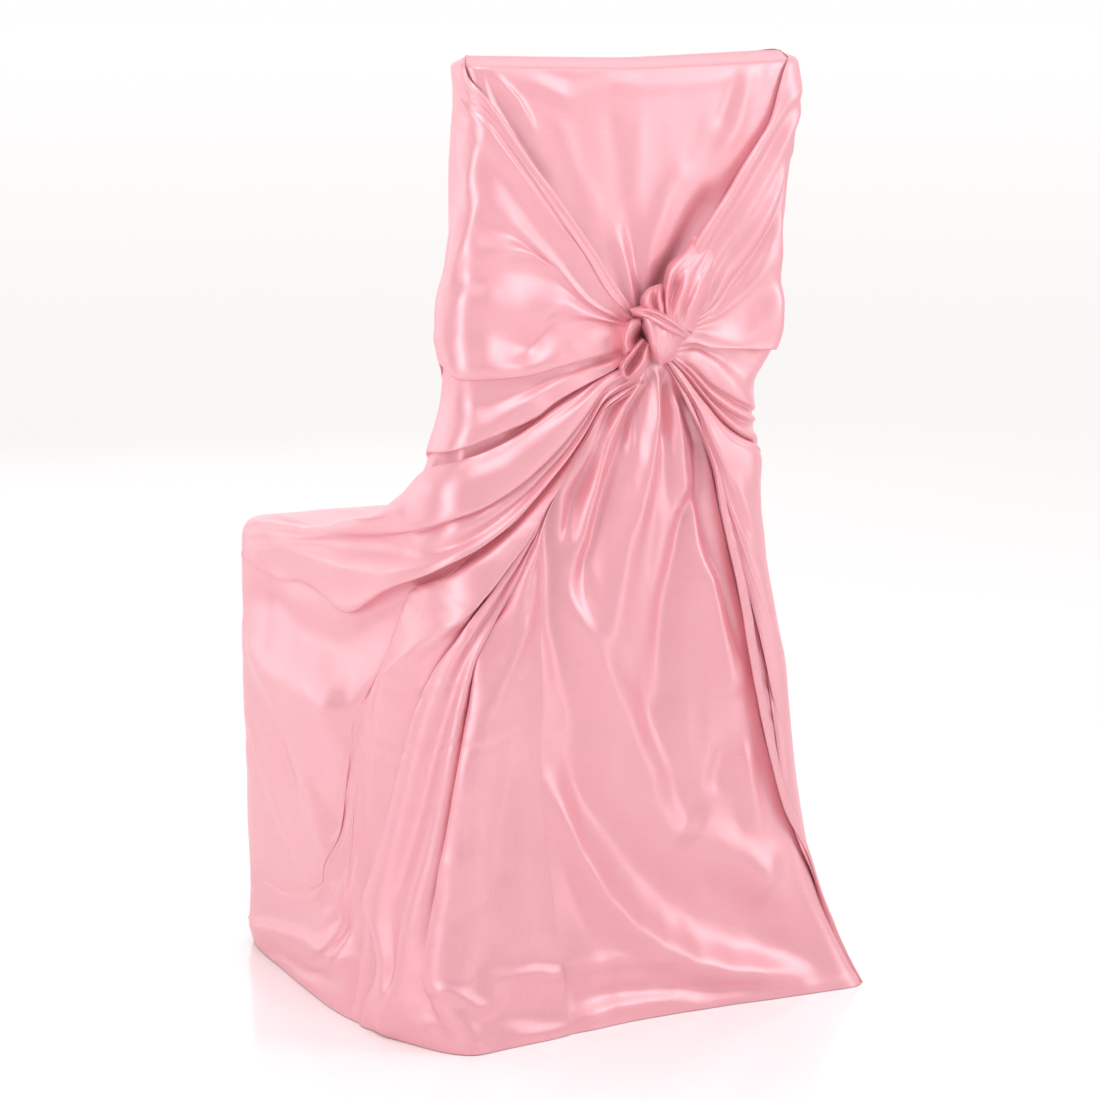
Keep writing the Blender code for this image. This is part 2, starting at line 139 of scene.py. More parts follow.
def make_hull():
    body = [finer(section_ring(catmull(SECTIONS, k / FINE_R)), FINE_S) for k in range(LAST * FINE_R + 1)]
    body = np.array(body)
    body[..., 0] = np.clip(body[..., 0], -HALF_X, HALF_X)
    body[..., 1] = np.clip(body[..., 1], -HALF_Y, HALF_Y)
    edge = body[0]
    mid = 0.5 * (edge[:, 1].max() + edge[:, 1].min())
    crown = []
    for k in range(CROWN_R):
        t = 1 - k / CROWN_R                       # 1 at the ridge, 0 at the edge
        r = edge.copy()
        a = t * math.pi / 2
        r[:, 1] = mid + (edge[:, 1] - mid) * (1 - math.sin(a) * 0.999)
        r[:, 0] = edge[:, 0] * (1 - 0.05 * math.sin(a))
        r[:, 2] = edge[:, 2] + 0.0092 * (1 - math.cos(a)) ** 0.5
        crown.append(r)
    hull = np.concatenate([np.array(crown), body])
    # soften the plain bag a little, so that no step of its table shows
    for _ in range(6):
        s = hull.copy()
        s[1:-1] = 0.25 * (hull[:-2] + hull[2:]) + 0.5 * hull[1:-1]
        hull = 0.25 * (np.roll(s, 1, 1) + np.roll(s, -1, 1)) + 0.5 * s
    # the cloth rounds the back corner that the view looks along
    steps = np.arange(hull.shape[1]) / FINE_S
    turn = 0.97 * np.exp(-(np.maximum(np.abs(steps - 16.5) - 2.0, 0) / 2.2) ** 2)[None, :, None]
    for _ in range(320):
        hull = hull + turn * 0.5 * (0.5 * (np.roll(hull, 1, 1) + np.roll(hull, -1, 1)) - hull)
    hull[-1, :, 2] = 0.0
    return hull


HULL = make_hull()
_around = np.roll(HULL, -1, 1) - np.roll(HULL, 1, 1)
_down = np.empty_like(HULL)
_down[1:-1] = HULL[2:] - HULL[:-2]
_down[0], _down[-1] = HULL[1] - HULL[0], HULL[-1] - HULL[-2]
NORM = np.cross(_around, _down)
NORM /= np.maximum(np.linalg.norm(NORM, axis=2, keepdims=True), 1e-12)
if ((HULL - HULL.mean(axis=(0, 1))) * NORM).sum() < 0:
    NORM = -NORM
for _ in range(10):
    s = NORM.copy()
    s[1:-1] = 0.25 * (NORM[:-2] + NORM[2:]) + 0.5 * NORM[1:-1]
    NORM = 0.25 * (np.roll(s, 1, 1) + np.roll(s, -1, 1)) + 0.5 * s
NORM[:CROWN_R // 2] = np.array([0, 0, 1.0])
NORM /= np.linalg.norm(NORM, axis=2, keepdims=True)


def sample(field, s, r):
    """field (HULL or NORM) at s steps around and r steps down; r from -1, the ridge."""
    s = np.asarray(s, float)
    r = np.asarray(r, float)
    fs = np.mod(s, AROUND) * FINE_S
    fr = np.where(r < 0, (np.maximum(r, -1) + 1) * CROWN_R, CROWN_R + np.clip(r, 0, LAST) * FINE_R)
    nr, ns = field.shape[:2]
    i0 = np.clip(np.floor(fr).astype(int), 0, nr - 2)
    j0 = np.floor(fs).astype(int) % ns
    a, b = (fr - i0)[..., None], (fs - np.floor(fs))[..., None]
    j1 = (j0 + 1) % ns
    return ((field[i0, j0] * (1 - b) + field[i0, j1] * b) * (1 - a)
            + (field[i0 + 1, j0] * (1 - b) + field[i0 + 1, j1] * b) * a)


def hull_tree():
    rows = list(range(0, HULL.shape[0], 3))
    if rows[-1] != HULL.shape[0] - 1:
        rows.append(HULL.shape[0] - 1)
    cols = list(range(0, HULL.shape[1], 2))
    pts = HULL[rows][:, cols]
    nr, nc = pts.shape[:2]
    polys, where = [], []
    for i in range(nr - 1):
        for j in range(nc):
            k = (j + 1) % nc
            polys.append((i * nc + j, i * nc + k, (i + 1) * nc + k, (i + 1) * nc + j))
            where.append((rows[i], rows[i + 1], cols[j]))
    return BVHTree.FromPolygons([tuple(p) for p in pts.reshape(-1, 3)], polys), where


TREE, WHERE = hull_tree()


def steps_at(point, face):
    """(s, r) of a point on the hull, in a face of the tree."""
    i0, i1, j0 = WHERE[face]
    j1 = (j0 + 2) % HULL.shape[1]
    p = np.asarray(point)
    a, b, c = HULL[i0, j0], HULL[i0, j1], HULL[i1, j0]
    eb, ec = b - a, c - a
    m = np.array([[eb @ eb, eb @ ec], [eb @ ec, ec @ ec]]) + np.eye(2) * 1e-12
    f, g = np.clip(np.linalg.solve(m, np.array([(p - a) @ eb, (p - a) @ ec])), 0, 1)
    fr = i0 + (i1 - i0) * g
    s = (j0 + 2 * f) / FINE_S
    r = fr / CROWN_R - 1 if fr < CROWN_R else (fr - CROWN_R) / FINE_R
    return (s - AROUND if s > AROUND / 2 else s), r


def seen(px, py):
    """(s, r) of the cloth point seen at (px, py); off the outline, the nearest one."""
    d = sight(px, py)
    hit, _, face, _ = TREE.ray_cast(Vector(EYE), Vector(d))
    if hit is None:
        best = None
        for t in np.linspace(2.6, 4.2, 321):
            q = Vector(EYE + d * t)
            loc, _, f, dist = TREE.find_nearest(q)
            if best is None or dist < best[0]:
                best = (dist, loc, f)
        _, hit, face = best
    return steps_at(hit, face)


# ---------------------------------------------------------------- interpolation
def slopes(x, y):
    """Monotone (Fritsch-Carlson) slopes of rows y at x, along axis 0."""
    h = np.diff(x)[:, None]
    d = np.diff(y, axis=0) / h
    m = np.zeros_like(y)
    m[0], m[-1] = d[0], d[-1]
    if len(x) > 2:
        w1, w2 = 2 * h[1:] + h[:-1], h[1:] + 2 * h[:-1]
        same = d[:-1] * d[1:] > 0
        with np.errstate(divide="ignore", invalid="ignore"):
            hm = (w1 + w2) / (w1 / d[:-1] + w2 / d[1:])
        m[1:-1] = np.where(same, hm, 0.0)
    return m


def hermite(x, y, xi, kind="monotone"):
    """y (rows at x) read at xi. kind monotone keeps crests and troughs in place."""
    x, y, xi = np.asarray(x, float), np.asarray(y, float), np.asarray(xi, float)
    flat = y.ndim == 1
    if flat:
        y = y[:, None]
    if kind == "monotone":
        m = slopes(x, y)
    else:
        m = np.gradient(y, x, axis=0)
    k = np.clip(np.searchsorted(x, xi, side="right") - 1, 0, len(x) - 2)
    h = (x[k + 1] - x[k])[:, None]
    t = ((xi - x[k])[:, None]) / h
    out = ((1 + 2 * t) * (1 - t) ** 2 * y[k] + t * (1 - t) ** 2 * h * m[k]
           + t * t * (3 - 2 * t) * y[k + 1] + t * t * (t - 1) * h * m[k + 1])
    return out[:, 0] if flat else out


def noise2(u, v, seed):
    """Smooth value noise, about -1..1, over real coordinates u, v."""
    rng = np.random.default_rng(seed)
    table = rng.uniform(-1, 1, (64, 64))
    i, j = np.floor(u).astype(int), np.floor(v).astype(int)
    f, g = u - i, v - j
    f, g = f * f * f * (f * (6 * f - 15) + 10), g * g * g * (g * (6 * g - 15) + 10)
    def t(a, b):
        return table[a % 64, b % 64]
    return ((t(i, j) * (1 - f) + t(i + 1, j) * f) * (1 - g)
            + (t(i, j + 1) * (1 - f) + t(i + 1, j + 1) * f) * g)


def line_relief(points, lines):
    """Summed height in mm of soft ridges and troughs. lines: (height, width at
    each end in mm, [(px, py), ...]) with the points as seen, laid on the hull."""
    out = np.zeros(points.shape[:-1])
    for height, w0, w1, line in lines:
        sr = [seen(*p) for p in line]
        q = sample(HULL, [a for a, _ in sr], [b for _, b in sr])
        out += one_line(points, q, height, w0, w1)
    return out


def one_line(points, q, height, w0, w1, fade=0.12):
    seg = np.linalg.norm(np.diff(q, axis=0), axis=1)
    far = np.concatenate([[0], np.cumsum(seg)]) / max(seg.sum(), 1e-9)
    best = np.full(points.shape[:-1], 1e9)
    at = np.zeros(points.shape[:-1])
    for k in range(len(seg)):
        a, ab = q[k], q[k + 1] - q[k]
        t = np.clip(((points - a) @ ab) / max(ab @ ab, 1e-12), 0, 1)
        d = np.linalg.norm(points - a - t[..., None] * ab, axis=-1)
        near = d < best
        best = np.where(near, d, best)
        at = np.where(near, far[k] + (far[k + 1] - far[k]) * t, at)
    w = (w0 + (w1 - w0) * at) / 1000
    ends = np.clip(at / fade, 0, 1) * np.clip((1 - at) / fade, 0, 1)
    ends = 0.35 + 0.65 * ends
    return height * ends * np.exp(-(best / w) ** 2)


# ------------------------------------------------------------------ guide fans
def read_guide(row):
    """Control rows (s, r, h) of one guide: seen points, then hidden ones."""
    pts, tail = row
    out = []
    for k, (px, py, h) in enumerate(pts):
        s, r = seen(px, py)
        step = 0
        while k and abs(s - out[-1][0]) > 6.5 and abs(px - pts[k - 1][0]) < 40 and step < 9:
            step += 1                       # just off the outline: come back in
            s, r = seen(px - 1.5 * step * math.copysign(1, px - 600), py)
        out.append((s, r, h))
    if tail:
        side = math.copysign(1, tail[-1][0])
        out += [tuple(t) for t in tail if side * t[0] > side * out[-1][0] + 0.8]
    else:
        out[-1] = (out[-1][0], float(LAST), out[-1][2])
    return np.array(out, float)


def resample(ctrl, m, bunch=1.0):
    """The guide at m even steps of its length on the hull."""
    p = sample(HULL, ctrl[:, 0], ctrl[:, 1])
    d = np.maximum(np.linalg.norm(np.diff(p, axis=0), axis=1), 1e-4)
    x = np.concatenate([[0], np.cumsum(d)])
    dense = np.linspace(0, x[-1], 400)
    sr = hermite(x, ctrl[:, :2], dense, "monotone")
    h = hermite(x, ctrl[:, 2], dense, "monotone")
    q = sample(HULL, sr[:, 0], sr[:, 1])
    dd = np.concatenate([[0], np.cumsum(np.linalg.norm(np.diff(q, axis=0), axis=1))])
    want = dd[-1] * np.linspace(0, 1, m) ** bunch
    return np.stack([np.interp(want, dd, sr[:, 0]), np.interp(want, dd, sr[:, 1]), np.interp(want, dd, h)], 1), dd[-1]


def fan(rows, m, pitch_mm, most):
    """(s, r, h, u, v) grids over a fan of guides, first guide first."""
    keys = []
    for row in rows:
        g, length = resample(read_guide(row), m)
        keys.append(g)
    keys = np.array(keys)                                   # (K, m, 3)
    pos = sample(HULL, keys[..., 0], keys[..., 1]) + sample(NORM, keys[..., 0], keys[..., 1]) * keys[..., 2:3] / 1000
    gap = np.linalg.norm(np.diff(pos, axis=0), axis=2)      # (K-1, m)
    mid = np.maximum(np.percentile(gap[:, m // 8:], 60, axis=1), 0.002)
    x = np.concatenate([[0], np.cumsum(mid)])
    count = np.maximum(3, np.round(mid / (pitch_mm / 1000)).astype(int))
    while count.sum() > most:
        pitch_mm *= 1.03
        count = np.maximum(3, np.round(mid / (pitch_mm / 1000)).astype(int))
    xi = [0.0]
    for a, b, n in zip(x[:-1], x[1:], count):
        xi += list(a + (b - a) * (np.arange(n) + 1) / n)
    xi = np.array(xi)
    flat = keys.reshape(len(keys), -1)
    grid = hermite(x, flat, xi, "monotone").reshape(len(xi), m, 3)
    return grid, xi


# left of the view: guides from the knot outward, from the top edge of the tie
# down to the long edge beside the skirt. Seen points (px, py, height), then
# hidden ones (steps around, steps down, height).
def near(points, dx, dy, dh=0.0, h=None):
    """A seen line moved by (dx, dy), its heights changed or all set to h."""
    return [(x + dx, y + dy, (z + dh) if h is None else h) for x, y, z in points]


# from the knot down to the hidden hem: the part of each lower guide that
# gathers into the knot, shared by the guides of one fold
HEAD_POCKET = [(638, 377, 6), (602, 400, 4), (578, 437, 2), (547, 479, -1), (512, 522, -5), (484, 548, -8), (455, 569, -10), (428, 580, -10), (406, 591, -10)]
HEAD_BAND = [(638, 378, 6), (602, 403, 7), (578, 441, 8), (550, 485, 9), (516, 525, 8), (486, 553, 7), (458, 573, 5), (430, 584, 2)]
LEFT = (
    # edge and ridges of the tie, from the knot to the top corner
    ([(643, 322, 2), (619, 290, 1), (594, 250, 0.5), (560, 200, 0.5), (530, 160, 0.5), (510, 130, 0.5), (497, 112, 0.5), (484, 94, 0.5), (470, 78, 0.5)],
     [(20, -0.93, -0.7), (25.5, -0.88, -0.7), (28, -0.5, -0.5), (31, -0.20, 0.1)]),
    ([(641, 321, 8), (616, 292, 9), (590, 251, 9), (556, 201, 8.5), (527, 162, 8), (507, 132, 7), (494, 113, 6), (481, 95, 5), (467, 79, 4)],
     [(15.2, 0.08, 2.5), (16.6, -0.32, 1.2), (20, -0.62, 0.8), (25.5, -0.38, 0.8), (28, -0.15, 0.8), (31, -0.10, 0.8)]),
    ([(640, 322, 6.5), (612, 294, 6), (587, 254, 6), (552, 205, 5.5), (522, 166, 5), (502, 136, 4.5), (489, 116, 4), (476, 98, 3), (464, 82, 2)],
     [(15.4, 0.15, 1.2), (16.8, -0.24, 1.0), (20, -0.48, 0.8), (25.5, -0.25, 0.8), (28, 0.0, 0.8), (31, 0.1, 0.8)]),
    ([(639, 323, 8), (609, 297, 9), (584, 257, 9), (555, 213, 8), (535, 184, 7.5), (511, 147, 7), (493, 120, 6), (477, 101, 4.5), (463, 86, 3)],
     [(15.6, 0.22, 1.5), (17.0, -0.15, 1.0), (20, -0.32, 0.8), (25.5, -0.10, 0.8), (28, 0.2, 0.8), (31, 0.3, 0.8)]),
    ([(638, 324, 6.5), (605, 297, 6), (580, 257, 5), (550, 214, 4.5), (529, 184, 4), (505, 147, 4), (487, 120, 3.5), (471, 103, 3), (460, 91, 2)],
     [(15.9, 0.35, 1.2), (17.2, 0.0, 1.0), (20, -0.15, 0.8), (25.5, 0.05, 0.8), (28, 0.4, 0.8), (31, 0.5, 0.8)]),
    ([(637, 324, 8), (600, 290, 10), (575, 248, 11), (545, 211, 11), (520, 176, 10), (500, 146, 9), (480, 119, 7.5), (466, 103, 5.5), (457, 92, 3)],
     [(16.3, 0.55, 1.5), (17.6, 0.2, 1.0), (20, 0.0, 0.8), (25.5, 0.25, 0.8), (28, 0.7, 0.8), (31, 0.8, 0.8)]),
    ([(637, 325, 6), (598, 294, 6), (571, 252, 6), (540, 215, 5.5), (514, 180, 5), (493, 150, 4.5), (474, 124, 4), (461, 107, 2.5)],
     [(16.9, 1.0, 1.2), (20, 0.5, 1.0), (25.5, 0.6, 0.8), (28, 1.0, 0.8), (31, 1.1, 0.8)]),
    # the field beside it
    ([(636, 325, 5.5), (592, 300, 4), (561, 258, 3), (530, 219, 3), (504, 186, 2.5), (484, 156, 2), (466, 132, 1.5), (458, 120, 1)],
     [(19.0, 1.3, 1), (24, 1.3, 0.8), (28, 1.5, 0.8), (31, 1.5, 0.8)]),
    ([(636, 325, 6), (589, 303, 5), (552, 262, 4), (516, 226, 4), (486, 200, 3), (464, 172, 2), (454, 150, 1)],
     [(19.5, 2.2, 1), (24, 2.2, 0.8), (28, 2.3, 0.8), (31, 2.3, 0.8)]),
    ([(635, 326, 5), (586, 303, 3.5), (545, 262, 2), (505, 233, 1.5), (474, 216, 1.5), (450, 202, 1)],
     [(19.5, 2.9, 1), (24, 2.9, 0.8), (28, 3.0, 0.8), (31, 3.0, 0.8)]),
    ([(634, 325, 8), (583, 301, 9), (550, 266, 8), (512, 250, 9), (478, 252, 8), (445, 246, 4)],
     [(19.5, 3.6, 2), (24, 3.6, 1), (28, 3.7, 0.8), (31, 3.7, 0.8)]),
    ([(633, 326, 6), (586, 307, 5), (553, 281, 2.5), (514, 272, 1.5), (472, 277, 3), (442, 272, 5)],
     [(19.5, 4.3, 2), (24, 4.2, 1), (28, 4.3, 0.8), (31, 4.3, 0.8)]),
    ([(632, 327, 8), (584, 315, 9), (554, 305, 9), (522, 309, 6), (482, 302, 7), (438, 300, 7)],
     [(19.5, 4.9, 3), (24, 4.8, 1), (28, 4.9, 0.8), (31, 4.9, 0.8)]),
    ([(630, 329, 5), (588, 321, 4), (554, 322, 1), (528, 345, -3), (484, 331, 3), (437, 322, 7)],
     [(19.5, 5.4, 3), (24, 5.3, 1), (28, 5.3, 0.8), (31, 5.3, 0.8)]),
    ([(628, 334, 9), (590, 332, 11), (554, 342, 8), (524, 357, 4), (478, 356, 10), (438, 338, 9)],
     [(19.5, 5.9, 3), (24, 5.8, 1), (28, 5.8, 0.8), (31, 5.8, 0.8)]),
    ([(626, 341, 12), (590, 346, 14), (554, 356, 13), (518, 366, 12), (472, 368, 13), (441, 352, 9)],
     [(19.5, 6.4, 3), (24, 6.2, 1), (28, 6.2, 0.8), (31, 6.2, 0.8)]),
    ([(626, 348, 11), (590, 357, 11), (554, 367, 10), (512, 378, 9), (468, 380, 9), (443, 364, 6)],
     [(19.5, 6.8, 2), (24, 6.5, 1), (28, 6.5, 0.8), (31, 6.5, 0.8)]),
    ([(626, 349, 6), (591, 356, 5), (556, 365, 4), (514, 375, 3), (469, 377, 3), (443, 362, 2)],
     [(19.5, 6.9, 1), (24, 6.6, 0.8), (28, 6.6, 0.8), (31, 6.6, 0.8)]),
    # band and edge that sweep to the left, over the dark pocket
    ([(627, 353, 5), (594, 362, 3), (562, 373, 2), (524, 390, 1), (480, 402, 1), (443, 400, 1)],
     [(19.5, 7.6, 1), (24, 7.3, 0.8), (28, 7.3, 0.8), (31, 7.3, 0.8)]),
    ([(628, 356, 8), (602, 367, 9), (556, 384, 9), (516, 406, 10), (474, 432, 9), (440, 442, 7)],
     [(19.5, 8.4, 4), (24, 8.0, 1), (28, 8.0, 0.8), (31, 8.0, 0.8)]),
    ([(629, 359, 8), (610, 370, 9), (556, 399, 9), (527, 420, 9), (487, 438, 9), (439, 454, 8)],
     [(19.5, 8.8, 4), (24, 8.4, 1), (28, 8.4, 0.8), (31, 8.4, 0.8)]),
    ([(629, 360, 4), (611, 368, 2), (558, 395, 0), (529, 414, -2), (489, 432, -1), (440, 449, 1)],
     [(19.5, 8.75, 1), (24, 8.6, 0.8), (28, 8.6, 0.8), (31, 8.6, 0.8)]),
    ([(630, 362, 2), (612, 370, 0), (560, 402, -3), (534, 421, -6), (496, 444, -5), (438, 462, -1)],
     [(20.0, 8.7, 0), (24, 9.0, 0.8), (28, 9.3, 0.8), (31, 9.3, 0.8)]),
    ([(631, 363, 3), (612, 370, 2), (563, 401, 0), (535, 423, 0), (494, 448, 0), (448, 466, 1)],
     [(19.5, 8.8, 1.5), (22, 9.2, 2), (24.5, 10.0, 3), (27, 11.3, 2), (29, 11.6, 1), (31, 11.5, 0.8)]),
    # broad band from the knot over the seat's side to its front corner
    ([(631, 364, 6), (612, 370, 6), (573, 400, 7), (535, 427, 8), (488, 460, 8), (450, 472, 8), (422, 481, 8), (405, 490, 8)],
     [(22.5, 10.0, 9), (24, 10.6, 11), (25.4, 11.4, 11), (26.4, 12.2, 8), (27.2, 12.8, 3), (29, 12.9, 0.8), (31, 12.6, 0.8)]),
    ([(632, 366, 10), (612, 373, 12), (575, 405, 14), (540, 436, 14), (494, 472, 14), (452, 489, 13), (425, 499, 12)],
     [(20.2, 10.4, 13), (21.5, 11.1, 12), (23, 11.75, 10), (24.6, 12.3, 6), (26.0, 12.75, 3), (27.2, 13.1, 1.5), (29, 13.2, 0.8), (31, 13.0, 0.8)]),
    ([(633, 369, 11), (609, 378, 12), (578, 411, 14), (546, 446, 15), (506, 482, 14), (462, 506, 13), (425, 517, 12), (385, 521, 9)],
     [(22.3, 11.75, 8), (23.8, 12.25, 6), (25.4, 12.75, 3), (26.6, 13.15, 1.5), (27.8, 13.5, 1.0), (29, 13.5, 0.8), (31, 13.4, 0.8)]),
    ([(634, 371, 10), (605, 384, 10), (582, 413, 11), (553, 448, 12), (520, 480, 12), (481, 507, 12), (450, 522, 11), (415, 533, 9), (385, 534, 6), (350, 534, 4), (300, 535, 2), (247, 530, 1)],
     [(27.9, 13.9, 1.0), (29, 13.8, 0.8), (31, 13.8, 0.8)]),
    ([(634, 372, 7), (605, 383, 5), (582, 411, 5), (552, 446, 4), (518, 478, 3), (480, 504, 2), (450, 519, 2), (416, 531, 2), (386, 535, 2), (350, 536, 2), (300, 538, 1), (246, 534, 0.8)],
     [(28.0, 13.95, 0.8), (29, 13.9, 0.8), (31, 13.9, 0.8)]),
    ([(635, 373, 7), (604, 388, 8), (581, 421, 9), (550, 460, 10), (515, 496, 9), (482, 518, 9), (455, 532, 8), (430, 541, 6), (400, 545, 1), (355, 544, -2), (300, 541, -1), (245, 541, 0)],
     [(28.1, 14.2, 0.8), (29, 14.1, 0.8), (31, 14.1, 0.8)]),
    ([(636, 374, 6), (603, 391, 6), (580, 426, 6), (549, 466, 5), (513, 504, 4), (482, 528, 3), (457, 544, 2), (430, 554, 1), (398, 554, -1), (355, 550, -2), (300, 545, -1), (245, 545, 0)],
     [(28.15, 14.35, 0.8), (29, 14.3, 0.8), (31, 14.3, 0.8)]),
    ([(636, 374, 9), (603, 393, 10), (580, 430, 12), (548, 472, 13), (511, 514, 12), (484, 536, 11), (455, 554, 11), (420, 568, 11), (380, 575, 9), (345, 566, 6), (300, 549, 3), (244, 550, 1)],
     [(28.2, 14.6, 0.8), (29, 14.6, 0.8), (31, 14.6, 0.8)]),
    ([(637, 375, 9), (603, 396, 10), (579, 433, 11), (548, 476, 12), (510, 520, 12), (481, 544, 12), (450, 565, 12), (415, 582, 12), (395, 590, 11), (375, 601, 10), (362, 610, 9), (350, 613, 8), (338, 606, 6), (318, 591, 4), (298, 580, 3), (275, 577, 2), (257, 566, 1), (244, 554, 1)],
     [(28.3, 14.9, 0.8), (29, 14.8, 0.8), (31, 14.8, 0.8)]),
    ([(637, 376, 6), (603, 396, 6), (579, 432, 6), (548, 474, 5), (510, 517, 3), (481, 541, 2), (450, 562, 0), (415, 579, -1), (396, 588, -2), (376, 599, -3), (362, 608, -3), (350, 611, -2), (338, 605, -1), (318, 592, 0), (298, 582, 0), (275, 580, 0), (257, 570, 0), (244, 558, 0)],
     [(28.3, 15.0, 0.8), (29, 14.9, 0.8), (31, 14.9, 0.8)]),
    # the hollow under it, and the wide panel of the seat's side
    (near(HEAD_POCKET, 0, 0)[:7] + [(425, 583, -11), (402, 594, -12), (380, 609, -12), (363, 620, -10), (348, 624, -7), (330, 617, -4), (305, 600, -2), (275, 592, -1), (244, 578, 0)],
     [(28.4, 15.4, 0.8), (29, 15.3, 0.8), (31, 15.3, 0.8)]),
    (near(HEAD_POCKET, 0, 0.4) + [(393, 617, -12), (375, 634, -10), (340, 641, -6), (300, 628, -3), (270, 606, -1), (243, 600, 0)],
     [(28.4, 16.0, 0.8), (29, 15.9, 0.8), (31, 15.9, 0.8)]),
    (near(HEAD_POCKET, 0, 0.8) + [(394, 620, -11), (386, 642, -7), (370, 676, -2), (345, 709, 7), (312, 694, 9), (278, 664, 7), (246, 640, 3)],
     [(28.4, 17.0, 0.8), (29, 17.0, 0.8), (31, 17.0, 0.8)]),
    (near(HEAD_POCKET, 0.1, 1.2) + [(395, 621, -10), (387, 644, -6), (374, 676, -2), (357, 712, 3), (342, 760, 3), (316, 795, 3), (282, 790, 2), (246, 770, 1.5)],
     [(28.3, 17.9, 0.8), (29, 18.0, 0.8), (31, 18.1, 0.8)]),
    (near(HEAD_POCKET, 0.2, 1.6) + [(395.5, 622, -9), (388, 645, -5), (375, 677, -2), (359, 713, 2), (346, 775, 1), (330, 848, 0), (300, 885, 0), (270, 885, 0), (248, 870, 1)],
     [(28.1, 18.6, 0.8), (29, 18.8, 0.8), (31, LAST, 0.8)]),
    (near(HEAD_POCKET, 0.3, 2.0) + [(396, 623, -8), (389, 646, -4), (376, 678, -1), (361, 714, 2), (350, 780, 1), (340, 850, -1), (328, 902, -1), (303, 930, 1), (272, 930, 5), (253, 926, 3)],
     [(27.2, LAST, 0.8)]),
    (near(HEAD_POCKET, 0.4, 2.4) + [(396.5, 624, -7), (389.5, 647, -3), (377, 679, 0), (363, 715, 2), (354, 782, 1), (347, 852, -1), (339, 908, -2), (325, 945, 4), (300, 958, 2), (275, 956, 0), (262, 945, 0)], []),
    (near(HEAD_POCKET, 0.5, 2.8) + [(397, 625, -6), (390, 648, -2), (378, 679, 0), (365, 716, 2), (358, 783, 1), (352, 853, -1), (347, 912, -3), (342, 952, 4), (330, 975, 1), (312, 987, 0)], []),
    # wide band from the knot to the seat's side, its bright lower lip
    (HEAD_BAND + [(409, 593, 0), (400, 622, 1), (392, 646, 2), (380, 676, 2), (368, 717, 2), (362, 784, 1), (356, 854, -2), (352, 915, -3), (350, 958, 3), (342, 1009, 0)], []),
    ([(639, 379, 8), (602, 405, 10), (577, 446, 12), (548, 492, 13), (518, 532, 13), (490, 562, 12), (465, 588, 10), (440, 608, 9), (420, 630, 8), (402, 655, 8), (385, 685, 7), (374, 722, 3), (367, 788, 0), (360, 855, -3), (356, 917, -3), (355, 958, 2), (345, 1012, 0)], []),
    ([(640, 380, 9), (601, 407, 11), (575, 449, 14), (545, 500, 15), (520, 540, 16), (500, 566, 16), (478, 597, 16), (450, 629, 16), (422, 651, 15), (398, 672, 13), (384, 700, 9), (379, 738, 4), (372, 795, 0), (364, 855, -4), (359, 920, -3), (358, 962, 1), (348, 1014, 0)], []),
    ([(640, 380, 8), (600, 408, 9), (573, 452, 11), (543, 504, 12), (517, 547, 12), (496, 576, 11), (474, 606, 10), (447, 640, 9), (424, 668, 8), (405, 694, 8), (393, 722, 5), (386, 762, 1), (377, 812, -2), (368, 862, -5), (362, 925, -3), (360, 968, 0), (350, 1015, 0)], []),
    ([(640, 380, 7), (600, 408, 7), (572, 453, 8), (542, 506, 8), (515, 552, 7), (493, 582, 6), (472, 613, 5), (449, 648, 5), (430, 678, 5), (414, 708, 3), (405, 742, 0), (395, 785, -2), (384, 835, -4), (372, 875, -5), (365, 908, -2), (365, 942, 2), (362, 975, 2), (352, 1016, 0)], []),
    # the flap under the long edge, and the edge's dark gap
    ([(640, 380, 6), (600, 407, 6), (572, 453, 6), (542, 506, 5), (515, 552, 3), (494, 583, 2), (474, 612, 1), (455, 646, 0), (440, 668, -1), (424, 701, -3), (412, 738, -5), (401, 782, -6), (389, 832, -7), (377, 876, -6), (370, 910, 0), (372, 942, 3), (370, 976, 3), (355, 1016, 0)], []),
    ([(640, 381, 5), (600, 408, 4), (572, 454, 4), (542, 507, 2), (516, 554, 0), (496, 585, -1), (476, 615, -2), (457, 648, -4), (442, 670, -5), (427, 703, -7), (416, 739, -9), (405, 783, -9), (392, 833, -9), (381, 877, -8), (372, 909, -5), (383, 938, -3), (387, 961, -2), (384, 983, -1), (373, 1006, -0.5), (360, 1020, 0)], []),
    ([(641, 381, 8), (599, 408, 9), (571, 453, 10), (541, 506, 10), (514, 552, 10), (493, 582, 9), (473, 611, 9), (454, 644, 9), (439, 666, 9), (424, 699, 9), (413, 735, 9), (402, 778, 9), (389, 829, 10), (377, 871, 11), (368, 905, 12), (374, 916, 12), (380, 936, 11), (383, 960, 10), (380, 980, 9), (369, 1004, 7), (363, 1022, 3)], []),
    # narrow strips between the long edge and the skirt
    ([(641, 381, 8), (599, 410, 9), (571, 456, 10), (543, 509, 11), (517, 557, 11), (497, 588, 11), (479, 617, 11), (461, 650, 11), (447, 676, 11), (436, 706, 11), (425, 742, 12), (414, 786, 13), (402, 835, 14), (390, 880, 14), (383, 912, 14), (387, 938, 13), (391, 962, 12), (388, 985, 11), (378, 1008, 9), (370, 1029, 4)], []),
    ([(641, 382, 6), (598, 411, 6), (570, 458, 6), (542, 512, 6), (517, 562, 4), (499, 594, 3), (482, 622, 2), (466, 655, 1), (455, 685, 0), (447, 712, -1), (437, 748, -2), (427, 795, -2), (415, 845, -2), (405, 890, -1), (399, 925, 1), (399, 955, 3), (397, 985, 4), (390, 1012, 4), (383, 1036, 2)], []),
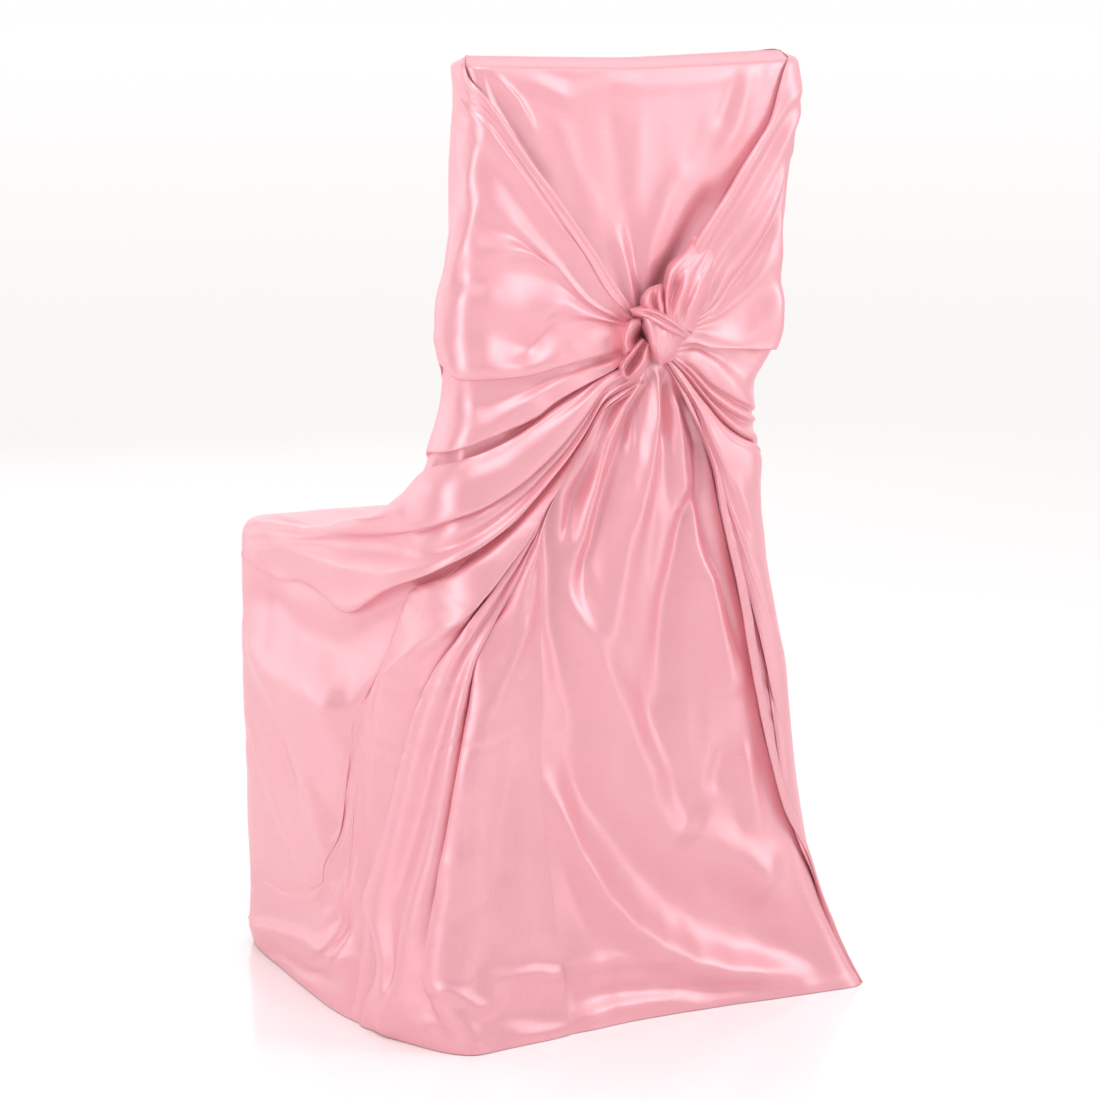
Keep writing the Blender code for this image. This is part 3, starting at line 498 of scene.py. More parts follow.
    ([(642, 382, 7), (598, 412, 8), (569, 460, 9), (541, 514, 11), (517, 566, 12), (501, 600, 12), (486, 630, 11), (472, 662, 10), (463, 695, 10), (456, 730, 10), (448, 775, 10), (440, 820, 10), (429, 870, 11), (417, 915, 12), (407, 950, 11), (402, 985, 10), (398, 1015, 8), (397, 1040, 3)], []),
    ([(642, 382, 6), (598, 412, 7), (569, 460, 8), (541, 515, 9), (519, 569, 8), (505, 603, 5), (491, 630, 0), (478, 660, -4), (471, 700, -6), (465, 735, -5), (459, 780, -4), (452, 826, -3), (445, 880, -2), (438, 930, -1), (433, 970, 0), (430, 1000, 1), (424, 1039, 1)], []),
    # the skirt's left edge, over the strips, and its pale side
    ([(642, 383, 8), (597, 412, 9), (568, 460, 11), (540, 516, 12), (521, 571, 12), (507, 604, 10), (489, 627, 7), (475, 655, 6), (468, 700, 7), (462, 735, 9), (456, 780, 11), (449, 830, 12), (441, 880, 13), (432, 930, 14), (429, 965, 14), (431, 993, 13), (436, 1010, 11), (448, 1031, 7), (468, 1050, 3)], []),
    ([(643, 383, 8), (597, 413, 9), (568, 461, 11), (541, 517, 12), (524, 573, 13), (512, 612, 13), (501, 645, 12), (490, 690, 12), (480, 740, 13), (471, 785, 14), (461, 835, 15), (452, 882, 15), (444, 930, 15), (441, 965, 14), (444, 990, 12), (452, 1010, 10), (466, 1030, 6), (486, 1050, 2)], []),
    ([(643, 383, 6), (597, 413, 7), (568, 462, 8), (541, 518, 9), (529, 575, 9), (524, 630, 8), (517, 690, 8), (509, 745, 8), (500, 790, 8), (491, 840, 8), (484, 890, 7), (479, 935, 6), (477, 970, 6), (480, 1000, 5), (488, 1022, 3), (508, 1047, 1)], []),
    ([(643, 383, 4), (596, 413, 5), (567, 462, 6), (540, 518, 6), (537, 575, 2.5), (537, 640, 1.2), (536, 700, 1), (535, 760, 0.8), (536, 800, 0.8), (540, 850, 0.8), (546, 900, 0.8), (552, 935, 0.8), (556, 965, 0.8), (560, 1000, 0.8), (565, 1037, 0.8)], []),
    ([(644, 383, 1), (597, 413, 0), (568, 463, -0.5), (541.5, 519, -1), (540, 575, -1), (541, 640, -1), (541, 700, -1), (541, 760, -1), (542, 800, -1), (546, 850, -1), (552, 900, -1), (558, 935, -1), (562, 965, -1), (566, 1000, -0.8), (570, 1037, -0.5)], []),
)

RTOP = [(-15.4, -0.4, 0.2), (-20, -0.93, -0.6), (-25.5, -0.88, -0.6), (-28, -0.5, -0.4), (-31, -0.2, 0.2)]
RIGHT = (
    # thick rolled tie on the right
    ([(664, 320, 2), (676, 290, 1), (686, 264, 0.5), (697, 240, 0.5), (712, 216, 0.5), (728, 191, 0.5), (743, 165, 0.5), (758, 142, 0.5), (769, 124, 0.5), (774, 107, 0.5), (779, 88, 0.5), (787, 64, 0.5)],
     RTOP),
    ([(660, 318, 8), (669, 289, 9), (678, 263, 11), (690, 238, 12), (705, 215, 12), (722, 190, 11), (737, 165, 10), (753, 141, 9), (765, 123, 7), (772, 106, 5), (777, 87, 4), (786, 60, 2)],
     [(-15.6, -0.3, 1.0), (-20, -0.55, 0.8), (-25.5, -0.35, 0.8), (-28, -0.12, 0.8), (-31, -0.1, 0.8)]),
    ([(663, 320, 12), (674, 290, 17), (685, 264, 18), (697, 240, 18), (712, 216, 17), (729, 190, 16), (745, 164, 15), (759, 142, 13), (771, 122, 12), (780, 107, 11), (790, 95, 10), (799, 86, 8)],
     [(-15.8, 0.2, 4.0), (-20, -0.2, 1.0), (-25.5, -0.1, 0.8), (-28, 0.05, 0.8), (-31, 0.1, 0.8)]),
    ([(667, 321, 9), (684, 293, 11), (695, 267, 11), (707, 244, 10), (722, 219, 9), (739, 192, 8), (755, 165, 7), (769, 143, 6), (780, 125, 6), (788, 110, 5), (795, 99, 5)],
     [(-16.3, 0.5, 2.0), (-20, 0.1, 1.0), (-25.5, 0.1, 0.8), (-28, 0.25, 0.8), (-31, 0.3, 0.8)]),
    ([(671, 322, 11), (692, 296, 15), (703, 270, 15), (717, 245, 14), (734, 221, 13), (752, 194, 12), (768, 167, 11), (780, 145, 10), (789, 127, 8), (795, 112, 7)],
     [(-16.8, 0.8, 2.0), (-20, 0.4, 1.0), (-25.5, 0.3, 0.8), (-28, 0.5, 0.8), (-31, 0.5, 0.8)]),
    ([(675, 323, 8), (698, 299, 9), (710, 274, 9), (724, 250, 8), (742, 226, 8), (760, 199, 8), (774, 173, 7), (784, 152, 6), (791, 136, 4)],
     [(-17.2, 1.2, 1.5), (-20, 0.7, 1.0), (-25.5, 0.6, 0.8), (-28, 0.8, 0.8), (-31, 0.8, 0.8)]),
    ([(680, 324, 10), (704, 303, 12), (717, 279, 12), (732, 255, 11), (750, 231, 11), (767, 205, 10), (779, 180, 8), (786, 162, 4)],
     [(-17.6, 1.7, 1.5), (-20, 1.1, 1.0), (-25.5, 0.9, 0.8), (-28, 1.1, 0.8), (-31, 1.1, 0.8)]),
    # the field beside it
    ([(678, 326, 7), (690, 320, 6), (712, 307, 4), (728, 286, 3), (752, 254, 2), (776, 210, 1), (792, 150, 1)],
     [(-18.5, 2.0, 1), (-24, 2.0, 0.8), (-28, 2.1, 0.8), (-31, 2.1, 0.8)]),
    ([(676, 330, 8), (690, 325, 7), (712, 316, 6), (735, 298, 6), (758, 272, 7), (778, 246, 5), (784, 238, 2)],
     [(-18.5, 3.5, 1.5), (-24, 3.3, 0.8), (-28, 3.3, 0.8), (-31, 3.3, 0.8)]),
    ([(675, 333, 7), (690, 328, 5), (712, 323, 3), (736, 312, 2), (758, 296, 2), (776, 282, 2), (781, 278, 2)],
     [(-18.5, 4.3, 1), (-24, 4.2, 0.8), (-28, 4.2, 0.8), (-31, 4.2, 0.8)]),
    ([(674, 336, 8), (690, 332, 8), (710, 336, 9), (733, 341, 9), (757, 328, 9), (775, 312, 8), (783, 300, 4)],
     [(-18.5, 4.9, 1.5), (-24, 4.9, 0.8), (-28, 4.9, 0.8), (-31, 4.9, 0.8)]),
    ([(673, 340, 8), (690, 337, 7), (710, 343, 8), (735, 346, 8), (757, 343, 7), (776, 336, 6), (783, 330, 3)],
     [(-18.5, 5.5, 1.5), (-24, 5.5, 0.8), (-28, 5.5, 0.8), (-31, 5.5, 0.8)]),
    ([(672, 345, 9), (689, 342, 9), (706, 347, 9), (738, 348, 9), (758, 349, 8), (774, 349, 6), (779, 345, 3)],
     [(-18.5, 6.0, 1.5), (-24, 5.9, 0.8), (-28, 5.9, 0.8), (-31, 5.9, 0.8)]),
    ([(672, 346, 5), (689, 343, 5), (707, 346, 4), (738, 346, 1), (757, 347, 1), (772, 347, 1), (778, 344, 1)],
     [(-18.5, 6.05, 1), (-24, 6.1, 0.8), (-28, 6.1, 0.8), (-31, 6.1, 0.8)]),
    ([(671, 349, 5), (689, 347, 3), (708, 352, 1), (728, 361, 1), (745, 372, 1), (757, 380, 1)],
     [(-18.5, 6.8, 1), (-24, 6.8, 0.8), (-28, 6.8, 0.8), (-31, 6.8, 0.8)]),
    # the pleats that run off to the right
    ([(670, 352, 7), (689, 352, 8), (706, 361, 8), (722, 376, 9), (740, 392, 8), (751, 402, 6)],
     [(-18.0, 7.6, 3), (-24, 7.4, 0.8), (-28, 7.4, 0.8), (-31, 7.4, 0.8)]),
    ([(669, 354, 8), (686, 361, 9), (708, 381, 8), (729, 395, 9), (745, 404, 8), (752, 409, 6)],
     [(-18.0, 7.9, 3), (-24, 7.8, 0.8), (-28, 7.8, 0.8), (-31, 7.8, 0.8)]),
    ([(669, 355, 6), (685, 363, 4), (708, 384, 2), (729, 398, 2), (744, 407, 2), (751, 412, 2)],
     [(-18.0, 8.0, 1), (-24, 8.1, 0.8), (-28, 8.1, 0.8), (-31, 8.1, 0.8)]),
    ([(668, 356, 7), (683, 366, 8), (709, 393, 8), (729, 408, 9), (744, 416, 8), (751, 420, 6)],
     [(-18.0, 8.3, 3), (-24, 8.5, 0.8), (-28, 8.6, 0.8), (-31, 8.6, 0.8)]),
    ([(668, 357, 5), (682, 368, 4), (708, 397, 2), (728, 413, 2), (743, 422, 2), (750, 426, 2)],
     [(-18.0, 8.5, 1), (-24, 8.9, 0.8), (-28, 9.1, 0.8), (-31, 9.1, 0.8)]),
    ([(667, 358, 7), (680, 370, 9), (706, 401, 9), (727, 422, 10), (743, 434, 9), (750, 440, 7)],
     [(-18.0, 8.9, 4), (-24, 9.6, 1), (-28, 9.9, 0.8), (-31, 9.9, 0.8)]),
    ([(667, 359, 5), (679, 372, 4), (705, 404, 2), (725, 427, 2), (741, 440, 2), (748, 446, 2)],
     [(-18.0, 9.2, 1), (-24, 10.2, 0.8), (-28, 10.6, 0.8), (-31, 10.8, 0.8)]),
    ([(666, 360, 7), (678, 374, 9), (703, 409, 9), (724, 438, 11), (746, 452, 11), (760, 464, 9)],
     [(-18.2, 9.9, 6), (-23, 11.2, 3), (-27.6, 12.6, 1.5), (-29.5, 12.5, 0.8), (-31, 12.4, 0.8)]),
    ([(666, 361, 7), (677, 376, 9), (701, 414, 10), (721, 452, 13), (742, 476, 13), (758, 492, 9)],
     [(-18.6, 10.7, 7), (-23, 12.4, 5), (-27.8, 13.4, 1.5), (-29.5, 13.2, 0.8), (-31, 13.1, 0.8)]),
    ([(665, 361, 7), (676, 377, 9), (699, 417, 10), (718, 462, 13), (738, 505, 13), (752, 528, 10)],
     [(-18.8, 11.5, 7), (-23, 13.3, 5), (-28, 13.9, 1.5), (-29.5, 13.9, 0.8), (-31, 13.8, 0.8)]),
    ([(665, 362, 6), (676, 378, 8), (697, 418, 8), (715, 467, 9), (735, 520, 9), (756, 562, 7)],
     [(-18.6, 12.8, 0), (-23, 14.3, -2), (-28.2, 14.6, 0.8), (-29.5, 14.6, 0.8), (-31, 14.6, 0.8)]),
    ([(664, 362, 6), (675, 378, 8), (695, 417, 8), (713, 468, 9), (733, 530, 10), (758, 592, 9), (775, 622, 6)],
     [(-19.0, 13.9, 5), (-23, 15.2, 4), (-28.2, 15.5, 0.8), (-29.5, 15.5, 0.8), (-31, 15.5, 0.8)]),
    # long edge on the right: outer face, crease, rolled inner edge
    ([(664, 362, 5), (675, 379, 7), (694, 414, 7), (711, 465, 8), (731, 535, 9), (756, 612, 9), (778, 670, 8), (790, 730, 6)],
     [(-18.4, 16.2, 2), (-22, 17.4, 0), (-28.2, 17.2, 0.8), (-29.5, 17.2, 0.8), (-31, 17.2, 0.8)]),
    ([(664, 362, 5), (674, 379, 6), (693, 413, 6), (710, 460, 7), (729, 535, 7), (750, 612, 7), (768, 680, 7), (782, 750, 6), (786, 800, 5)],
     [(-17.6, 17.8, 1), (-21, 18.8, 0), (-25, LAST, 0.8), (-28.5, LAST, 0.8), (-31, LAST, 0.8)]),
    ([(663, 362, 4), (674, 380, 4), (691, 412, 4), (708, 452, 4), (725, 510, 4), (742, 580, 4), (758, 660, 3), (771, 730, 3), (783, 790, 3), (802, 842, 2), (832, 915, 2), (858, 963, 1)], []),
    ([(662, 362, 7), (672, 379, 11), (688, 409, 12), (704, 450, 13), (719, 500, 14), (733, 560, 14), (748, 640, 14), (760, 705, 13), (771, 755, 12), (788, 810, 10), (820, 880, 8), (850, 945, 6), (862, 975, 3)], []),
    ([(660, 361, 7), (669, 377, 9), (683, 406, 10), (699, 440, 12), (712, 495, 13), (725, 560, 13), (740, 640, 13), (752, 705, 13), (764, 757, 12), (779, 810, 10), (806, 875, 8), (840, 945, 6), (860, 984, 3)], []),
    ([(662, 361, 1), (672, 377, 0), (687, 407, 0), (703, 443, 0), (717, 495, 0), (731, 560, 0), (746, 640, 0), (758, 705, 0), (770, 757, 0), (784, 808, 0), (811, 876, 0), (843, 945, 0), (860, 982, 0)], []),
)


# back panel and skirt: relief lines (height mm, width mm at the start and end,
# points as seen)
PANEL_FOLDS = (
    # upper panel: drawn to the knot, faint upright creases, puckers at the top
    (4, 4, 9, [(634, 314), (630, 292), (626, 268), (618, 240)]),
    (-3, 4, 9, [(643, 314), (641, 285), (636, 255), (628, 215)]),
    (-7, 7, 16, [(654, 306), (666, 278), (682, 246), (700, 214), (722, 186)]),
    (3, 9, 14, [(640, 290), (652, 240), (668, 195), (690, 160)]),
    (0.8, 9, 11, [(560, 120), (575, 165), (600, 220)]),
    (0.7, 9, 11, [(640, 120), (638, 165), (634, 210)]),
    (-0.8, 10, 13, [(610, 110), (618, 155), (625, 210)]),
    (-0.8, 10, 13, [(700, 110), (690, 155), (672, 195)]),
    (2.6, 9, 11, [(750, 66), (745, 95), (737, 126), (720, 152)]),
    (-2.0, 7, 9, [(735, 72), (730, 100), (720, 125)]),
    (2.0, 5, 7, [(778, 52), (771, 68), (768, 82)]),
    (3.0, 8, 8, [(504, 74), (535, 82), (567, 97), (590, 87), (609, 81), (640, 84), (700, 80), (768, 68)]),
    (-1.8, 6, 6, [(504, 62), (540, 68), (574, 80), (605, 68), (640, 71), (740, 58)]),
    (3.5, 2.5, 4, [(484, 60), (498, 78), (516, 98), (531, 126)]),
    (-3.5, 3, 6, [(486, 72), (499, 104), (520, 140), (545, 178)]),
    # skirt, from the knot down
    (9, 4, 11, [(640, 378), (620, 405), (605, 440), (594, 480), (584, 530), (578, 560)]),
    (-7, 4, 9, [(629, 384), (612, 412), (598, 452), (576, 500), (566, 550)]),
    (-8, 4, 12, [(645, 378), (632, 410), (621, 450), (604, 498), (588, 556), (586, 590)]),
    (14, 5, 26, [(654, 378), (652, 430), (640, 490), (622, 550), (610, 615), (606, 660)]),
    (-7, 4, 9, [(664, 376), (662, 410), (660, 440)]),
    (9, 6, 12, [(670, 395), (676, 430), (679, 460), (684, 500)]),
    (-11, 8, 26, [(694, 488), (682, 540), (670, 600), (662, 660), (664, 720)]),
    (12, 13, 22, [(706, 560), (714, 600), (722, 650), (730, 700)]),
    (-7, 6, 8, [(682, 404), (698, 444), (702, 500), (711, 556), (724, 606), (735, 650)]),
    (-7, 10, 18, [(546, 500), (550, 560), (553, 620), (568, 690), (590, 760)]),
    (9, 13, 24, [(566, 597), (598, 664), (640, 735), (668, 800)]),
    (-9, 16, 24, [(640, 690), (656, 740), (682, 800), (708, 852), (760, 900)]),
    (-11, 18, 28, [(562, 740), (590, 800), (630, 860), (680, 905), (740, 935), (800, 957)]),
    (12, 14, 15, [(552, 790), (574, 850), (606, 900), (632, 926), (660, 945), (694, 962), (732, 970), (800, 976)]),
    (15, 24, 28, [(686, 826), (712, 850), (742, 868), (776, 884)]),
    (-5, 12, 14, [(726, 742), (722, 766), (714, 790)]),
    (5, 9, 14, [(744, 746), (750, 790), (758, 830)]),
    (-6, 16, 20, [(700, 880), (740, 905), (790, 930)]),
    (-4, 9, 12, [(560, 830), (575, 880), (592, 930)]),
    # slack across the hem
    (6, 8, 8, [(560, 974), (588, 966), (612, 960), (640, 957), (668, 962)]),
    (-5, 8, 9, [(578, 1000), (620, 992), (700, 990), (790, 984)]),
    (5, 7, 7, [(572, 1022), (610, 1008), (650, 1000), (690, 996)]),
)


LEFT_FOLDS = (
    # swag over the seat's side
    (6, 9, 11, [(330, 508), (368, 513), (408, 512)]),
    (-5, 7, 9, [(266, 520), (312, 530), (360, 539), (412, 545)]),
    (6, 8, 11, [(272, 541), (310, 553), (352, 566), (398, 568), (432, 558)]),
    (-4, 9, 9, [(262, 562), (300, 582), (340, 592), (380, 584)]),
    # bowl below it, wrinkles down the side
    (10, 24, 26, [(250, 630), (276, 672), (306, 690), (334, 706), (352, 694)]),
    (-4, 16, 18, [(262, 590), (300, 632), (345, 650)]),
    (4, 5, 6, [(251, 716), (262, 757), (284, 816), (310, 887)]),
    (-4, 10, 12, [(262, 700), (284, 745), (300, 800)]),
    (7, 20, 24, [(304, 770), (322, 830), (336, 878)]),
    (-6, 14, 16, [(318, 885), (336, 918), (352, 938)]),
    (2.5, 4, 4, [(306, 762), (312, 782), (320, 800)]),
    (6, 7, 7, [(255, 926), (282, 930), (314, 941), (342, 957), (362, 961)]),
    (-4, 8, 8, [(290, 962), (320, 975), (345, 985)]),
    # strips and the skirt's left part
    (6, 8, 11, [(530, 602), (510, 650), (480, 711), (466, 764), (462, 812)]),
    (-4, 9, 10, [(507, 588), (494, 625), (486, 664)]),
    (3, 4, 5, [(531, 530), (531, 560), (532, 592)]),
    (-4, 12, 14, [(508, 760), (500, 830), (494, 890)]),
    (4, 14, 16, [(522, 840), (524, 900), (530, 950)]),
    (-5, 7, 9, [(446, 872), (431, 929), (421, 1010)]),
    (3.5, 3, 3.5, [(396, 1026), (430, 1021), (456, 1028)]),
    (-10, 7, 9, [(434, 990), (438, 1015), (446, 1038)]),
    (8, 9, 10, [(396, 985), (390, 1012), (386, 1036)]),
    (5, 7, 9, [(458, 1010), (468, 1030), (474, 1048)]),
    # slack across its hem
    (5, 4.5, 5, [(436, 993), (447, 986), (464, 998), (482, 1012)]),
    (5, 5, 6, [(482, 1012), (489, 988), (497, 970)]),
    (5, 5, 7, [(510, 980), (526, 970), (546, 975), (562, 975)]),
    (-4, 6, 6, [(468, 984), (480, 960), (484, 935)]),
    (-2, 7, 8, [(500, 1000), (520, 1014), (540, 1020)]),
    (2, 8, 9, [(500, 1030), (530, 1034), (560, 1030)]),
    # flap's lip, and the broad fold under the tie
    (3, 4, 5, [(493, 589), (462, 623), (419, 655), (382, 678)]),
    (4, 6, 8, [(461, 119), (487, 143), (518, 182), (540, 213), (560, 234)]),
)
RIGHT_FOLDS = (
    (3, 6, 8, [(730, 480), (740, 520), (746, 556)]),
    (-3, 8, 9, [(762, 610), (770, 660), (776, 712)]),
)


# --------------------------------------------------------------------- meshes
def sheet_object(name, grid, closed=False):
    """A smooth quad sheet from a grid of points."""
    n, m = grid.shape[:2]
    me = bpy.data.meshes.new(name)
    me.vertices.add(n * m)
    me.vertices.foreach_set("co", grid.reshape(-1).astype(np.float32))
    i, j = np.meshgrid(np.arange(n - 1), np.arange(m - 1), indexing="ij")
    a = (i * m + j).ravel()
    quads = np.stack([a, a + 1, a + m + 1, a + m], 1)
    me.loops.add(quads.size)
    me.loops.foreach_set("vertex_index", quads.ravel().astype(np.int32))
    me.polygons.add(len(quads))
    me.polygons.foreach_set("loop_start", np.arange(0, quads.size, 4, dtype=np.int32))
    me.polygons.foreach_set("loop_total", np.full(len(quads), 4, np.int32))
    me.update(calc_edges=True)
    me.shade_smooth()
    uv = me.uv_layers.new(name="cloth")
    gu = np.concatenate([[0], np.cumsum(np.linalg.norm(np.diff(grid, axis=0), axis=2).mean(axis=1))])
    gv = np.concatenate([[0], np.cumsum(np.linalg.norm(np.diff(grid, axis=1), axis=2).mean(axis=0))])
    uu, vv = np.repeat(gu, m), np.tile(gv, n)
    data = np.stack([uu[quads.ravel()], vv[quads.ravel()]], 1)
    uv.data.foreach_set("uv", data.ravel().astype(np.float32))
    ob = bpy.data.objects.new(name, me)
    bpy.context.scene.collection.objects.link(ob)
    return ob


def area_of(ob):
    return sum(p.area for p in ob.data.polygons)


def lay(s, r, h):
    """Points h mm over the hull."""
    return sample(HULL, s, r) + sample(NORM, s, r) * (np.asarray(h)[..., None] / 1000)


def smooth_grid(g, times, keep_ends=True):
    for _ in range(times):
        s = g.copy()
        s[1:-1] = 0.25 * (g[:-2] + g[2:]) + 0.5 * g[1:-1]
        t = s.copy()
        t[:, 1:-1] = 0.25 * (s[:, :-2] + s[:, 2:]) + 0.5 * s[:, 1:-1]
        g = t
    return g


def wrap(name, rows, folds, m, pitch, most, seed, side):
    grid, v = fan(rows, m, pitch, most)
    s, r, h = grid[..., 0], grid[..., 1], grid[..., 2]
    n = len(v)
    u = np.tile(np.linspace(0, 1, m), (n, 1))
    base = sample(HULL, s, r)
    # small creases that run with the pull of the cloth
    vv = np.tile((v / v[-1])[:, None], (1, m))
    fan_v = np.cumsum(np.linalg.norm(np.diff(base, axis=0, prepend=base[:1]), axis=2), axis=0)
    pull = np.exp(-(u / 0.30) ** 2)
    fine = (noise2(u * 5 + 3, vv * 60, seed) * 0.9 + noise2(u * 9, vv * 130, seed + 1) * 0.45) * pull
    broad = noise2(u * 4, fan_v / 0.035, seed + 2) * 1.1 + noise2(u * 8, fan_v / 0.016, seed + 3) * 0.5
    ends = np.clip(u / 0.06, 0, 1) * np.clip((1 - u) / 0.04, 0.35, 1)
    edge = np.clip(np.minimum(vv, 1 - vv) / 0.02, 0.2, 1)
    # slack in the wide fields, and upright folds round the hidden sides
    slack = noise2((base[..., 0] + base[..., 1]) / 0.060 + 7, base[..., 2] / 0.085, seed + 4) * 2.2
    hang = noise2((base[..., 0] - 0.9 * base[..., 1]) / 0.050 + 3 + 0.5 * base[..., 2], base[..., 2] / 0.40, 5) * (9 + 9 * np.clip(1 - base[..., 2] / 0.46, 0, 1))
    hidden = np.clip((np.abs(s) - (25.5 if side > 0 else 17.0)) / 2.5, 0, 1)
    low = np.clip((r - 13.2) / 2.5, 0, 1)
    broad = broad + slack * (1 - hidden) + hidden * (hang * low + noise2(base[..., 0] / 0.06 + base[..., 1] / 0.2, base[..., 2] / 0.11 + base[..., 1] / 0.08, 6) * 4.5)
    calm = 1 - 0.85 * np.clip(1 - np.abs(s - 10.5) / 3.5, 0, 1) * np.clip(r - 9.5, 0, 1)     # the long strips hang straight
    calm = calm * (1 - 0.7 * np.exp(-((np.abs(s) - 16.0) / 2.2) ** 2) * np.clip((8.5 - r) / 1.5, 0, 1))
    h = h + (fine + broad * calm * (0.4 + 0.6 * (1 - pull))) * ends * edge
    h = h + line_relief(base, folds)
    # drapes that turn round the upright corner of the back
    turn = np.exp(-((np.abs(s) - 16.8) / 3.2) ** 2) * np.clip((8.5 - r) / 1.5, 0, 1)
    h = h + turn * (noise2(base[..., 2] / 0.034 + np.abs(s) * 0.35, np.abs(s) / 5.0, seed + 7) * 1.2
                    + noise2(base[..., 2] / 0.015 - np.abs(s) * 0.5, np.abs(s) / 3.5, seed + 8) * 0.4)
    # rolled hem along the floor and along both long edges
    h = h + 0.9 * np.clip((0.0135 - base[..., 2]) / 0.003, 0, 1)
    h[:2] += 0.7
    h[-2:] += 0.5
    g = lay(s, r, h)
    g = smooth_grid(g, 1)
    plain = np.clip((np.abs(s) - (26.8 if side > 0 else 18.0)) / 2.0, 0, 1)
    if side < 0:                                # the leaf beside the skirt hangs smooth
        plain = np.maximum(plain, 0.8 * np.clip((r - 10.5) / 1.5, 0, 1) * np.clip((np.abs(s) - 13.0) / 1.0, 0, 1))
    plain = np.maximum(plain, 0.7 * np.clip((0.05 - u) / 0.03, 0, 1))
    plain[:, -1] = 0
    for _ in range(16):
        g = g + plain[..., None] * (smooth_grid(g, 1) - g)
    g[..., 2] = np.maximum(g[..., 2], 0.0006)
    return sheet_object(name, g), g


def panel(name, n, m):
    """Back panel and skirt: from the ridge of the top down to the hem."""
    # half widths in steps around: a little under the edges of both wraps
    r = np.concatenate([np.linspace(-1.0, 0, 14)[:-1], np.linspace(0, LAST, n - 13)])
    half = []
    for rows, sign in ((LEFT, 1), (RIGHT, -1)):
        up, down = (resample(read_guide(rows[k]), 300)[0] for k in (0, -1))
        up = up[(sign * up[:, 0] < 14.6) & (up[:, 1] > 0.1)]
        sr = np.concatenate([up[::-1, :2], down[:, :2]])
        sr = sr[np.argsort(sr[:, 1])]
        wide = np.interp(r, sr[:, 1], sign * sr[:, 0]) + np.interp(r, [0, 3, 6, 9, 11, 19], [1.0, 1.6, 2.2, 2.2, 2.8, 2.8])
        wide = np.minimum(wide, np.interp(r, [-1, 0.5, 1.2, 2.0, 30], [17.6, 17.6, 17.0, 30, 30]))
        wide = np.maximum(wide, np.interp(r, [-1, 0.35, 0.9, 1.7], [20.0, 20.0, 18.0, 0]))
        wide = np.convolve(np.pad(wide, 6, mode="edge"), np.ones(13) / 13, mode="valid")
        half.append(wide)
    wl, wr = half
    w = np.linspace(-1, 1, m)
    s = np.where(w[None, :] >= 0, w[None, :] * wl[:, None], w[None, :] * wr[:, None])
    rr = np.tile(r[:, None], (1, m))
    base = sample(HULL, s, rr)
    h = np.full(s.shape, -1.0)
    # drawn out to the knot, and hanging out from it below
    knot = np.exp(-(np.abs(rr - 6.1) / 1.1) ** 2) * np.exp(-(s / 4.0) ** 2)
    h += 7.0 * knot
    h += line_relief(base, PANEL_FOLDS)
    below = np.clip((rr - 6.3) / 2.0, 0, 1)
    pull = np.exp(-np.clip(rr - 6.2, 0, 99) / 2.0) * below
    h += noise2(w[None, :] * 14 + 0 * rr, rr * 0.5, 11) * 3.0 * pull
    h += (noise2(s / 3.0, rr / 2.2, 12) * 1.6 + noise2(s / 1.4, rr / 1.3, 13) * 0.7) * (0.25 + 0.75 * below)
    h = h + 0.9 * np.clip((0.0135 - base[..., 2]) / 0.003, 0, 1)
    h = h * np.clip((1 - np.abs(w[None, :])) / 0.04, 0.0, 1) - 1.5 * (1 - np.clip((1 - np.abs(w[None, :])) / 0.06, 0, 1))
    h = np.where(rr < 0, -0.5 + 0 * h, h * np.clip(rr / 0.8, 0, 1) + (-0.5) * (1 - np.clip(rr / 0.8, 0, 1)))
    g = lay(s, rr, h)
    # over the ridge and down to the front edge of the top
    front = []
    for t in np.linspace(0, 1, 15)[:-1]:
        sf = np.sign(s[0] + 1e-9) * (31 - 4 * np.abs(s[0]) / 15)
        front.append(lay(sf, np.full(m, -1 + (1 - t) * 1.16), np.full(m, -0.5)))
    g = np.concatenate([np.array(front), g])
    g = smooth_grid(g, 2)
    g[..., 2] = np.maximum(g[..., 2], 0.0006)
    return sheet_object(name, g), g


